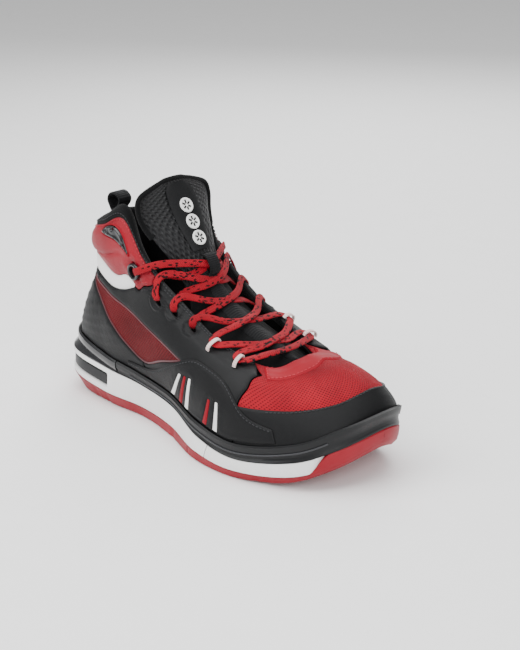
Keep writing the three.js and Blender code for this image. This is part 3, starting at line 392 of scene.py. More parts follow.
VAMP_EDGE = Region(((9, LOW_V), (8, LOW_V), (7, LOW_V), (6.4, LOW_V), (5.9, LOW_V),
                    (6.0, 0.6), (6.1, 1.06), (6.38, 1.57)),
                   ((9, TOP_V), (8.4, TOP_V), (7.8, TOP_V), (7.2, TOP_V), (6.75, TOP_V),
                    (6.72, 3.2), (6.77, 2.62), (6.5, 1.9)))
RAND = Region(((9, LOW_V), (8.1, LOW_V), (7.2, LOW_V), (6.4, LOW_V), (5.6, LOW_V)),
              ((9, 0.95), (8.1, 0.9), (7.2, 0.98), (6.4, 1.0), (5.6, 0.96)))
THROAT_TRIM = Region(((9, 3.12), (8.3, 2.85), (7.7, 2.5), (7.2, 2.25), (6.82, 2.1)),
                     ((9, 3.9), (8.3, 3.9), (7.7, 3.9), (7.2, 3.86), (6.86, 3.72)))
SIDE_OVERLAY = Region(((2.7, 0.14), (3.6, 0.14), (4.5, 0.14), (5.2, 0.14), (5.8, 0.14),
                       (6.3, 0.14), (6.68, 0.14)),
                      ((2.7, 0.3), (3.5, 0.48), (4.5, 1.15), (5.3, 1.6), (5.86, 1.55),
                       (6.2, 0.82), (6.66, 0.5)))
BADGE = Region(((2.1, 3.44), (2.3, 3.3), (2.65, 3.12), (3.0, 2.98), (3.2, 2.96)),
               ((2.12, 3.52), (2.3, 3.58), (2.6, 3.52), (3.0, 3.3), (3.22, 3.04)))
BACKSTAY = Region(((-0.105, 2.56), (0, 2.56), (0.105, 2.56)),
                  ((-0.105, 3.78), (0, 3.78), (0.105, 3.78)))
SLASHES = (((4.12, 0.2), (4.62, 0.95)), ((4.4, 0.18), (4.78, 0.98)),
           ((4.62, 0.18), (4.92, 1.0)), ((5.2, 0.18), (5.42, 0.82)),
           ((5.5, 0.18), (5.62, 0.86)))
LOOPS = ((6.3, 2.95), (5.75, 3.12))
HOLES = ((5.2, 3.14), (4.7, 3.06), (4.22, 2.8))
GROMMET = (3.42, 2.72)
EYELET_D = 7.2


def slash_region(ends: tuple, wide: float = 0.05) -> Region:
    """Draw the narrow region of one vent slash.

    Args:
        ends: its lower and upper end in u and v.
        wide: half its width in u.

    Returns:
        The region.
    """
    (u0, v0), (u1, v1) = ends

    def line(k: int) -> tuple:
        """Return one long edge of the slash."""
        return tuple((u0 + (u1 - u0) * t + k * wide * (1 - 0.55 * t), v0 + (v1 - v0) * t)
                     for t in (0, 0.5, 1))

    return Region(line(-1), line(1))


def circle(u: float, v: float, diameter: float, count: int = 28) -> Array:
    """Draw a round outline on the skin.

    Args:
        u: station.
        v: height.
        diameter: in millimetres.
        count: corners.

    Returns:
        A closed loop of u and v.
    """
    su, sv = (s[0] for s in SKIN.scale(np.array([u]), np.array([v])))
    a = full_turn(count)
    return np.stack([u + diameter / 2 * np.cos(a) / su, v + diameter / 2 * np.sin(a) / sv],
                    axis=1)


def on_side(u: float, side: Side) -> float:
    """Return a lateral station moved to the wanted side."""
    return STATIONS - u if side is Side.MEDIAL else u


# ---- colours, materials -------------------------------------------------------
def linear(code: str) -> tuple[float, float, float, float]:
    """Return the linear colour of an sRGB hex value such as "c8283a"."""
    parts = [int(code[i:i + 2], 16) / 255 for i in (0, 2, 4)]
    return tuple(c / 12.92 if c <= 0.04045 else ((c + 0.055) / 1.055) ** 2.4
                 for c in parts) + (1.0,)


class Graph:
    """A material's node tree while it is being built."""

    def __init__(self, name: str) -> None:
        """Start a material with only its shader and output."""
        self.material = bpy.data.materials.new(name)
        self.material.use_nodes = True
        self.tree = self.material.node_tree
        self.shader = self.tree.nodes["Principled BSDF"]

    def add(self, kind: str, inputs: Optional[dict] = None, **settings: object) -> bpy.types.Node:
        """Add one node with its settings and links.

        Args:
            kind: node type after "ShaderNode".
            inputs: socket name or number to a value or to another node's output.
            settings: properties of the node itself.

        Returns:
            The new node.
        """
        made = self.tree.nodes.new("ShaderNode" + kind)
        for key, value in settings.items():
            setattr(made, key, value)
        for key, value in (inputs or {}).items():
            if isinstance(value, bpy.types.NodeSocket):
                self.tree.links.new(value, made.inputs[key])
            else:
                made.inputs[key].default_value = value
        return made

    def calc(self, operation: str, a: object, b: object = 0.0) -> bpy.types.NodeSocket:
        """Return a math node's output."""
        return self.add("Math", {0: a, 1: b}, operation=operation).outputs[0]

    def link(self, source: bpy.types.NodeSocket, socket: str) -> None:
        """Feed one of the shader's sockets."""
        self.tree.links.new(source, self.shader.inputs[socket])


class Surface(Enum):
    """How a surface was made."""

    GRAIN = "grained"
    SATIN = "coated"
    OPEN_MESH = "open mesh"
    BUBBLE_MESH = "bubble mesh"
    WEAVE = "woven"
    WEBBING = "webbing"
    BRAID = "braided"
    PEBBLE = "pebbled"
    MOULDED = "moulded"
    TREAD = "tread"


@dataclass(frozen=True)
class Finish:
    """One material: what it is, how it was made and what the eye sees of it."""

    name: str
    made: Surface
    colour: str
    deep: str
    roughness: float
    scale: float                    # millimetres of one grain, thread or pebble
    depth: float                    # millimetres of its relief
    sheen: float = 0.0
    coat: float = 0.0
    specular: float = 0.5
    spread: float = 0.06            # how much the roughness wanders
    worn: str = ""                  # colour of rubbed high spots

    def build(self) -> bpy.types.Material:
        """Wire the material.

        Returns:
            The node material.
        """
        g = Graph(self.name)
        s = g.shader.inputs
        s["IOR"].default_value = 1.48
        s["Specular IOR Level"].default_value = self.specular
        s["Sheen Weight"].default_value = self.sheen
        s["Sheen Roughness"].default_value = 0.5
        s["Coat Weight"].default_value = self.coat
        s["Coat Roughness"].default_value = 0.12
        place = g.add("TexCoord")
        where = place.outputs["Object"]
        flat = place.outputs["UV"]
        height, mask = self.pattern(g, where, flat)
        drift = g.add("TexNoise", {"Vector": where, "Scale": 34.0, "Detail": 4.0}).outputs[0]
        tone = g.add("MapRange", {0: drift, 1: 0.3, 2: 0.7, 3: 0.0, 4: 0.35}).outputs[0]
        amount = g.calc("MINIMUM", g.calc("ADD", mask, tone), 1.0)
        mix = g.add("Mix", {0: amount, 6: linear(self.colour), 7: linear(self.deep)},
                    data_type="RGBA").outputs[2]
        if self.worn:
            rub = g.add("TexNoise", {"Vector": where, "Scale": 120.0, "Detail": 6.0,
                                     "Roughness": 0.7}).outputs[0]
            rubbed = g.add("MapRange", {0: rub, 1: 0.6, 2: 0.8, 3: 0.0, 4: 0.22}).outputs[0]
            mix = g.add("Mix", {0: rubbed, 6: mix, 7: linear(self.worn)},
                        data_type="RGBA").outputs[2]
        g.link(mix, "Base Color")
        rough = g.add("MapRange", {0: drift, 1: 0.3, 2: 0.7, 3: self.roughness - self.spread,
                                   4: self.roughness + self.spread}).outputs[0]
        g.link(rough, "Roughness")
        bump = g.add("Bump", {"Height": height, "Strength": 0.9,
                              "Distance": self.depth * 0.001})
        g.link(bump.outputs[0], "Normal")
        return g.material

    def pattern(self, g: Graph, where: bpy.types.NodeSocket,
                flat: bpy.types.NodeSocket) -> tuple:
        """Return the relief and the share of the deep colour.

        Args:
            g: the material being built.
            where: position in metres.
            flat: position along the piece in metres.

        Returns:
            The height socket and the colour mask socket.
        """
        per_m = 1000 / self.scale
        fine = g.add("TexNoise", {"Vector": where, "Scale": per_m * 1.7, "Detail": 3.0}).outputs[0]
        if self.made in (Surface.SATIN, Surface.MOULDED):
            return fine, g.calc("MULTIPLY", fine, 0.12)
        if self.made is Surface.GRAIN:
            cells = g.add("TexVoronoi", {"Vector": where, "Scale": per_m},
                          feature="DISTANCE_TO_EDGE").outputs[0]
            ridge = g.calc("MINIMUM", g.calc("MULTIPLY", cells, 4.0), 1.0)
            relief = g.calc("ADD", ridge, g.calc("MULTIPLY", fine, 0.35))
            return relief, g.calc("MULTIPLY", g.calc("SUBTRACT", 1.0, ridge), 0.5)
        if self.made is Surface.PEBBLE:
            cells = g.add("TexVoronoi", {"Vector": where, "Scale": per_m},
                          feature="SMOOTH_F1").outputs[0]
            return g.calc("SUBTRACT", 1.0, cells), g.calc("MULTIPLY", cells, 0.2)
        split = g.add("SeparateXYZ", {0: flat})
        x, y = split.outputs[0], split.outputs[1]
        turn = 2 * math.pi * per_m

        def wave(line: bpy.types.NodeSocket, share: float = 1.0) -> bpy.types.NodeSocket:
            """Return a 0 to 1 wave along a line."""
            sine = g.calc("SINE", g.calc("MULTIPLY", line, turn * share))
            return g.calc("ADD", g.calc("MULTIPLY", sine, 0.5), 0.5)

        if self.made in (Surface.OPEN_MESH, Surface.BUBBLE_MESH):
            a, b = wave(g.calc("ADD", x, y)), wave(g.calc("SUBTRACT", x, y))
            cell = g.calc("MULTIPLY", a, b)
            if self.made is Surface.BUBBLE_MESH:
                return cell, g.calc("MULTIPLY", g.calc("SUBTRACT", 1.0, cell), 0.6)
            hole = g.add("MapRange", {0: cell, 1: 0.45, 2: 0.7}).outputs[0]
            strand = g.calc("SUBTRACT", g.calc("MAXIMUM", wave(g.calc("ADD", x, y), 3.0), 0.3),
                            hole)
            return strand, g.calc("MULTIPLY", hole, 0.8)
        if self.made is Surface.WEAVE:
            relief = g.calc("MAXIMUM", g.calc("MULTIPLY", wave(x), wave(y, 0.5)),
                            g.calc("MULTIPLY", wave(y), wave(x, 0.5)))
            return relief, g.calc("MULTIPLY", g.calc("SUBTRACT", 1.0, relief), 0.45)
        if self.made is Surface.WEBBING:
            relief = g.calc("ADD", g.calc("MULTIPLY", wave(x), 0.7),
                            g.calc("MULTIPLY", wave(y, 2.2), 0.3))
            return relief, g.calc("MULTIPLY", g.calc("SUBTRACT", 1.0, relief), 0.4)
        if self.made is Surface.TREAD:
            bars = wave(g.calc("ADD", x, g.calc("ABSOLUTE", y)), 1.0)
            block = g.add("MapRange", {0: bars, 1: 0.25, 2: 0.45}).outputs[0]
            return block, g.calc("MULTIPLY", g.calc("SUBTRACT", 1.0, block), 0.6)
        chevron = wave(g.calc("ADD", x, g.calc("ABSOLUTE", y)))
        long = g.add("CombineXYZ", {0: g.calc("MULTIPLY", x, 0.5), 1: y}).outputs[0]
        fleck = g.add("TexVoronoi", {"Vector": long, "Scale": 900.0}).outputs["Color"]
        pick = g.add("SeparateXYZ", {0: fleck}).outputs[0]
        dark = g.add("MapRange", {0: pick, 1: 0.84, 2: 0.86}).outputs[0]
        return chevron, g.calc("MAXIMUM", g.calc("MULTIPLY", g.calc(
            "SUBTRACT", 1.0, chevron), 0.3), dark)


# Coated split leather on the collar: soft satin red with a fine natural grain.
COLLAR_LEATHER = Finish("coated_leather_grained_red", Surface.GRAIN, "980820", "6c0615", 0.42,
                        1.3, 0.10, specular=0.3, worn="a81a30")
# Coated synthetic leather, embossed: near black with a low satin shine.
BLACK_SYNTHETIC = Finish("synthetic_leather_coated_black", Surface.GRAIN, "0d0e10", "070708",
                         0.5, 0.9, 0.05, specular=0.22, worn="17181b")
# The same synthetic, smooth and white on the ankle band.
WHITE_SYNTHETIC = Finish("synthetic_leather_coated_white", Surface.SATIN, "f0f0ee", "dcdcda",
                         0.45, 1.2, 0.03)
# Knitted polyester mesh: bright red strands over small dark openings.
RED_MESH = Finish("polyester_mesh_knitted_red", Surface.OPEN_MESH, "b80a24", "2c0208", 0.72,
                  3.1, 0.5, sheen=0.05, specular=0.15)
# Finer mesh behind the side window, a duller red.
WINDOW_MESH = Finish("polyester_mesh_window_red", Surface.OPEN_MESH, "6a0711", "160204", 0.7,
                     2.4, 0.35, sheen=0.03, specular=0.15)
# Spacer mesh on the tongue: black with raised round cells that catch the light.
BUBBLE_MESH = Finish("spacer_mesh_knitted_black", Surface.BUBBLE_MESH, "151619", "040405",
                     0.6, 5.8, 1.5, sheen=0.03, specular=0.35)
# Brushed polyester lining: matt black with a faint weave.
LINING = Finish("polyester_lining_brushed_black", Surface.WEAVE, "0b0c0d", "050506", 0.85,
                1.1, 0.12, sheen=0.05, specular=0.12)
# Woven polyester webbing: black ribs across the tape.
WEBBING = Finish("polyester_webbing_woven_black", Surface.WEBBING, "111214", "060607", 0.75,
                 1.5, 0.3, sheen=0.04, specular=0.15)
# Flat polyester braid: red with scattered black flecks.
LACE_BRAID = Finish("polyester_lace_braided_red", Surface.BRAID, "a90a20", "0a0204", 0.7,
                    1.6, 0.3, sheen=0.05, specular=0.15)
# Thin white braid of the lace loops.
WHITE_CORD = Finish("polyester_cord_braided_white", Surface.WEBBING, "e9e6e2", "b8433f", 0.7,
                    1.4, 0.2, specular=0.3)
# Lasting board and stiffeners: pressed fibre, only seen if a panel is lifted.
FIBREBOARD = Finish("fibreboard_pressed", Surface.SATIN, "c6bba3", "a89d86", 0.9, 1.5, 0.1)
# Open cell padding foam behind the collar.
PADDING_FOAM = Finish("polyurethane_foam_cut", Surface.PEBBLE, "d8cfbd", "b9af9b", 0.95, 1.2,
                      0.2)
# Moulded EVA, white: clean, with a very fine skin.
WHITE_EVA = Finish("eva_foam_moulded_white", Surface.MOULDED, "eeeeed", "dadad8", 0.5, 1.0,
                   0.04)
# The forefoot block carries a light pebble from its mould.
PEBBLED_EVA = Finish("eva_foam_pebbled_white", Surface.PEBBLE, "ebebea", "d0d0ce", 0.5, 2.4,
                     0.25)
# Moulded solid rubber, red: satin, slightly dusty in the grooves.
RED_RUBBER = Finish("rubber_moulded_red", Surface.MOULDED, "920a1e", "6c0514", 0.48, 1.4,
                    0.05, specular=0.3, worn="a01a2e")
# The ground face of the same rubber with its herringbone bars.
RED_TREAD = Finish("rubber_tread_moulded_red", Surface.TREAD, "920a1e", "4c030c", 0.6, 6.0,
                   1.2)
# Moulded dark rubber of the sidewall: dark grey with a low shine.
GREY_RUBBER = Finish("rubber_moulded_dark_grey", Surface.MOULDED, "0f1012", "08090a", 0.4,
                     1.2, 0.04, specular=0.3, worn="1b1c1f")
# Glossy moulded polyurethane of the heel clip and badges.
GREY_TPU = Finish("polyurethane_moulded_gloss_grey", Surface.MOULDED, "141518", "0c0d0f",
                  0.24, 1.5, 0.02, coat=0.35, specular=0.4, spread=0.04)
# Welded film: smooth satin red along the throat.
RED_FILM = Finish("polyurethane_film_welded_red", Surface.SATIN, "8c081c", "6e0615", 0.55,
                  1.2, 0.03, specular=0.18)
# Pale film edge round the window.
PALE_FILM = Finish("polyurethane_film_welded_rose", Surface.SATIN, "55252b", "421a20", 0.42,
                   1.2, 0.03)
# White moulded film for vents and badges.
WHITE_FILM = Finish("polyurethane_film_moulded_white", Surface.SATIN, "ececea", "d4d4d1",
                    0.4, 1.2, 0.03)
# The raised piping moulded along the sidewall is painted lighter than the grey rubber: a painted
# highlight where the bead catches the light.
PIPING_HIGHLIGHT = Finish("rubber_piping_moulded_grey", Surface.MOULDED, "2c2d31", "1c1d20", 0.42, 1.2,
                0.03)
# Matt paint of the studio floor.
FLOOR_PAINT = Finish("floor_paint_matt_white", Surface.SATIN, "f6f6f6", "f2f2f2", 0.9, 30.0,
                     0.02, specular=0.2)
# Twisted sewing threads: a little lighter than the panels they hold.
BLACK_THREAD = Finish("polyester_thread_twisted_black", Surface.SATIN, "1d1f23", "101113",
                      0.55, 0.5, 0.05)
RED_THREAD = Finish("polyester_thread_twisted_red", Surface.SATIN, "b5122a", "800a1a", 0.55,
                    0.5, 0.05)

_BUILT: dict[str, bpy.types.Material] = {}


def material_of(finish: Finish) -> bpy.types.Material:
    """Return a finish's material, built once."""
    if finish.name not in _BUILT:
        _BUILT[finish.name] = finish.build()
    return _BUILT[finish.name]


# ---- meshes -------------------------------------------------------------------
def make_mesh(name: str, points: Array, faces: list, finish: Finish, body: str,
              flat: Optional[Array] = None, sharp: float = 42.0) -> bpy.types.Object:
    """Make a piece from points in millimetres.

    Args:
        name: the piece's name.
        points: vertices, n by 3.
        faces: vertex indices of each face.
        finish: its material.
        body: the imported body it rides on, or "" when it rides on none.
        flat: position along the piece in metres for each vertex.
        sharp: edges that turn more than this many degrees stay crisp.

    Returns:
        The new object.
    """
    mesh = bpy.data.meshes.new(name)
    mesh.from_pydata((np.asarray(points) * MM).tolist(), [], faces)
    mesh.validate()
    mesh.shade_smooth()
    mesh.set_sharp_from_angle(angle=math.radians(sharp))
    if flat is not None:
        layer = mesh.uv_layers.new(name="along")
        index = np.zeros(len(mesh.loops), int)
        mesh.loops.foreach_get("vertex_index", index)
        layer.data.foreach_set("uv", np.asarray(flat, np.float32)[index].ravel())
    obj = bpy.data.objects.new(name, mesh)
    bpy.context.scene.collection.objects.link(obj)
    mesh.materials.append(material_of(finish))
    if body:
        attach(obj, body)
    LOG.info("%s: %d faces", name, len(mesh.polygons))
    return obj


def stand_for(obj: bpy.types.Object, slot: str, *nodes: str) -> bpy.types.Object:
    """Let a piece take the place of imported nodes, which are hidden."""
    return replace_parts(obj, *nodes)


def loft(sections: Array, closed: bool) -> list:
    """Return the faces of a stack of equal closed sections, wound outward later.

    Args:
        sections: n by k by 3 points.
        closed: the last section joins the first; otherwise both ends are capped.

    Returns:
        Vertex indices of each face.
    """
    n, k = sections.shape[:2]
    rows = n if closed else n - 1
    faces = []
    for i in range(rows):
        j = (i + 1) % n
        for a in range(k):
            b = (a + 1) % k
            faces.append((i * k + a, j * k + a, j * k + b, i * k + b))
    if not closed:
        faces.append(tuple(range(k)))
        faces.append(tuple((n - 1) * k + a for a in reversed(range(k))))
    return faces


def outward(obj: bpy.types.Object) -> bpy.types.Object:
    """Turn all faces of a closed piece outward.

    Args:
        obj: the piece.

    Returns:
        The same piece.
    """
    mesh = bmesh.new()
    mesh.from_mesh(obj.data)
    bmesh.ops.remove_doubles(mesh, verts=mesh.verts, dist=2e-6)
    bmesh.ops.recalc_face_normals(mesh, faces=mesh.faces)
    mesh.to_mesh(obj.data)
    mesh.free()
    obj.data.set_sharp_from_angle(angle=math.radians(42))
    return obj


def lofted(name: str, sections: Sequence, finish: Finish, body: str = "shoe",
           flat: Optional[Array] = None, closed: bool = False) -> bpy.types.Object:
    """Make a closed piece from a stack of equal sections.

    Args:
        name: the piece's name.
        sections: n by k points in millimetres.
        finish: its material.
        body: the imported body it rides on.
        flat: position along the piece in metres for each vertex.
        closed: the last section joins the first.

    Returns:
        The new object.
    """
    stack = np.array(sections)
    return outward(make_mesh(name, stack.reshape(-1, 3), loft(stack, closed), finish, body,
                             flat))


@dataclass
class Panel:
    """A piece cut from a layer of the skin, with rolled edges.

    Heights are over the skin: its face lies at top and its back thick below that. The face
    sinks by roll at the rim, over a border as wide as edge, and relief adds to it.
    """

    name: str
    finish: Finish
    keep: list
    cut: list = field(default_factory=list)
    top: float = 0.0
    thick: float = 2.3
    roll: float = 0.7
    edge: float = 1.7
    relief: Optional[Callable] = None
    step: float = 2.3
    body: str = "shoe"

    def borders(self) -> tuple[Array, list]:
        """Lay points along every outline of the flat pattern.

        Returns:
            The points in flat millimetres and the pairs that make up the outlines.
        """
        coords, edges = [], []
        for loop in self.keep + self.cut:
            line = np.vstack([loop, loop[:1]]) * FLAT
            run = run_along(line)
            count = max(int(run[-1] / (self.step * 0.6)), 8)
            want = np.linspace(0, run[-1], count, endpoint=False)
            dense = np.stack([np.interp(want, run, line[:, k]) for k in (0, 1)], axis=1)
            first = len(coords)
            coords += dense.tolist()
            edges += [(first + i, first + (i + 1) % count) for i in range(count)]
        return np.array(coords), edges

    def filling(self, fixed: Array, edges: list) -> Array:
        """Lay points inside the pattern, closer together along its edges.

        Args:
            fixed: the points of the outlines.
            edges: the pairs that make up the outlines.

        Returns:
            The inner points in flat millimetres.
        """
        tree = KDTree(len(fixed))
        for i, p in enumerate(fixed):
            tree.insert((p[0], p[1], 0), i)
        tree.balance()

        def clear(points: Array, distance: float) -> list:
            """Return whether each point keeps its distance from the outlines."""
            return [tree.find((p[0], p[1], 0))[2] > distance for p in points]

        low, high = self.keep[0].min(0) * FLAT, self.keep[0].max(0) * FLAT
        rows = []
        for i, y in enumerate(np.arange(low[1], high[1], self.step * 0.87)):
            xs = np.arange(low[0] + (i % 2) * self.step / 2, high[0], self.step)
            rows.append(np.stack([xs, np.full(len(xs), y)], axis=1))
        grid = np.vstack(rows)
        grid = grid[inside(grid / FLAT, self.keep[0])]
        ring = []
        for i, j in edges:
            way = unit(fixed[j] - fixed[i])
            side = np.array([-way[1], way[0]])
            for d in (0.55, 1.25):
                ring += [fixed[i] + side * d, fixed[i] - side * d]
        grid = np.vstack([ring, grid[clear(grid, 1.9)]])
        return grid[clear(grid, 0.45)]

    def triangles(self) -> tuple[Array, Array]:
        """Cut the flat pattern into triangles.

        Returns:
            The points in flat millimetres and the triangles, all wound one way.
        """
        fixed, edges = self.borders()
        grid = self.filling(fixed, edges)
        verts, _, tris, *_ = delaunay_2d_cdt(
            [Vector(p) for p in fixed] + [Vector(p) for p in grid], edges, [], 0, 1e-4)
        flat = np.array([v[:] for v in verts])
        tris = np.array([t for t in tris if len(t) == 3])
        centre = flat[tris].mean(1) / FLAT
        good = np.ones(len(tris), bool)
        for loop in self.keep:
            good &= inside(centre, loop)
        for loop in self.cut:
            good &= ~inside(centre, loop)
        used, tris = np.unique(tris[good], return_inverse=True)
        tris = tris.reshape(-1, 3)
        flat = flat[used]
        a, b, c = (flat[tris[:, k]] for k in range(3))
        turn = (b[:, 0] - a[:, 0]) * (c[:, 1] - a[:, 1]) - (b[:, 1] - a[:, 1]) * (
            c[:, 0] - a[:, 0])
        return flat, np.where(turn[:, None] < 0, tris[:, ::-1], tris)[np.abs(turn) > 1e-5]

    def build(self) -> bpy.types.Object:
        """Lay the pattern on the skin.

        Returns:
            The finished panel.
        """
        flat, tris = self.triangles()
        u, v = flat[:, 0] / PER_U, flat[:, 1] / PER_V
        seen = {(t[k], t[(k + 1) % 3]): True for t in tris.tolist() for k in range(3)}
        rim = [e for e in seen if (e[1], e[0]) not in seen]
        skin, normal = SKIN.point(u, v), SKIN.normal(u, v)
        border = KDTree(len(rim) * 2)
        for i, (p, q) in enumerate(rim):
            border.insert(skin[p], 2 * i)
            border.insert((skin[p] + skin[q]) / 2, 2 * i + 1)
        border.balance()
        dist = np.array([border.find(p)[2] for p in skin])
        dist[[i for e in rim for i in e]] = 0
        height = self.top - self.roll * (1 - np.clip(dist / self.edge, 0, 1)) ** 2
        if self.relief:
            height = height + self.relief(u, v, dist)
        n = len(flat)
        points = np.vstack([skin + normal * height[:, None],
                            skin + normal * (self.top - self.thick)])
        faces = [tuple(t) for t in tris.tolist()]
        faces += [tuple(n + i for i in t[::-1]) for t in tris.tolist()]
        faces += [(q, p, p + n, q + n) for p, q in rim]
        along = np.tile(flat * MM, (2, 1))
        return make_mesh(self.name, points, faces, self.finish, self.body, along)


def stitches(name: str, lines: Sequence, finish: Finish, body: str = "shoe",
             pitch: float = 3.0, length: float = 2.1, radius: float = 0.34) -> None:
    """Sew rows of thread stitches.

    Args:
        name: the piece's name.
        lines: pairs of points and outward directions along each seam, in millimetres.
        finish: the thread.
        body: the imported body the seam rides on.
        pitch: one stitch to the next.
        length: of one stitch.
        radius: of the thread.
    """
    points, faces = [], []
    turn = full_turn(6)
    for line, up in lines:
        run = run_along(line)
        for at in np.arange(pitch / 2, run[-1] - length / 2, pitch):
            here = np.array([np.interp(at, run, line[:, k]) for k in range(3)])
            ahead = np.array([np.interp(at + 0.4, run, line[:, k]) for k in range(3)])
            n = unit(np.array([np.interp(at, run, up[:, k]) for k in range(3)]))
            t = unit(ahead - here)
            s = np.cross(t, n)
            base = len(points)
            for x, r, sink in ((-0.5, 0.35, -0.3), (-0.28, 1, 0), (0.28, 1, 0),
                               (0.5, 0.35, -0.3)):
                c = here + t * x * length + n * sink * radius * 2
                points += [c + radius * r * (math.cos(w) * s + math.sin(w) * n * 0.9)
                           for w in turn]
            for i in range(3):
                for a in range(6):
                    b = (a + 1) % 6
                    faces.append((base + i * 6 + a, base + i * 6 + b,
                                  base + i * 6 + 6 + b, base + i * 6 + 6 + a))
            faces.append(tuple(base + a for a in reversed(range(6))))
            faces.append(tuple(base + 18 + a for a in range(6)))
    if points:
        make_mesh(name, np.array(points), faces, finish, body)


def seam(line: Array, height: float, skip: Sequence = (), low: float = 0.1,
         high: float = 3.98) -> list:
    """Return seam lines over the skin from (u, v) points.

    Args:
        line: points of the seam.
        height: over the skin.
        skip: outlines under which no thread shows.
        low: lowest v that is sewn.
        high: highest v that is sewn.

    Returns:
        Pairs of points and normals, one for each stretch that shows.
    """
    shown = (line[:, 1] > low) & (line[:, 1] < high)
    for loop in skip:
        shown &= ~inside(line, loop)
    runs, start = [], None
    for i, s in enumerate(list(shown) + [False]):
        if s and start is None:
            start = i
        if not s and start is not None:
            if i - start > 3:
                runs.append((start, i))
            start = None
    made = []
    for a, b in runs:
        u, v = line[a:b, 0], line[a:b, 1]
        made.append((SKIN.offset(u, v, np.full(b - a, height)), SKIN.normal(u, v)))
    return made


SWELL_FRAMES = 20                           # length of the filling simulation


def swell(obj: bpy.types.Object, pinned: Array, pressure: float, cap: float) -> None:
    """Fill a padded piece by cloth simulation and keep the result.

    Args:
        obj: a closed mesh in metres.
        pinned: indices of the sewn vertices, which stay where they are.
        pressure: of the filling.
        cap: furthest a point may move, in millimetres.
    """
    group = obj.vertex_groups.new(name="sewn")
    group.add([int(i) for i in pinned], 1.0, "REPLACE")
    before = np.array([v.co for v in obj.data.vertices])
    cloth = obj.modifiers.new("filling", "CLOTH")
    cloth.settings.quality = 6
    cloth.settings.mass = 0.15
    cloth.settings.vertex_group_mass = "sewn"
    cloth.settings.use_pressure = True
    cloth.settings.uniform_pressure_force = pressure
    cloth.settings.effector_weights.gravity = 0
    cloth.point_cache.frame_start = 1
    cloth.point_cache.frame_end = SWELL_FRAMES
    scene = bpy.context.scene
    for f in range(1, SWELL_FRAMES + 1):
        scene.frame_set(f)
    solved = obj.evaluated_get(bpy.context.evaluated_depsgraph_get()).data
    after = np.array([v.co for v in solved.vertices])
    obj.modifiers.remove(cloth)
    obj.vertex_groups.remove(group)
    scene.frame_set(1)
    move = after - before
    size = np.linalg.norm(move, axis=1, keepdims=True)
    move *= np.minimum(1, cap * MM / np.maximum(size, 1e-9))
    if np.isfinite(move).all():
        obj.data.vertices.foreach_set("co", (before + move).astype(np.float32).ravel())
        obj.data.update()
    LOG.info("%s: filled, moved up to %.1f mm", obj.name, size.max() * 1000)


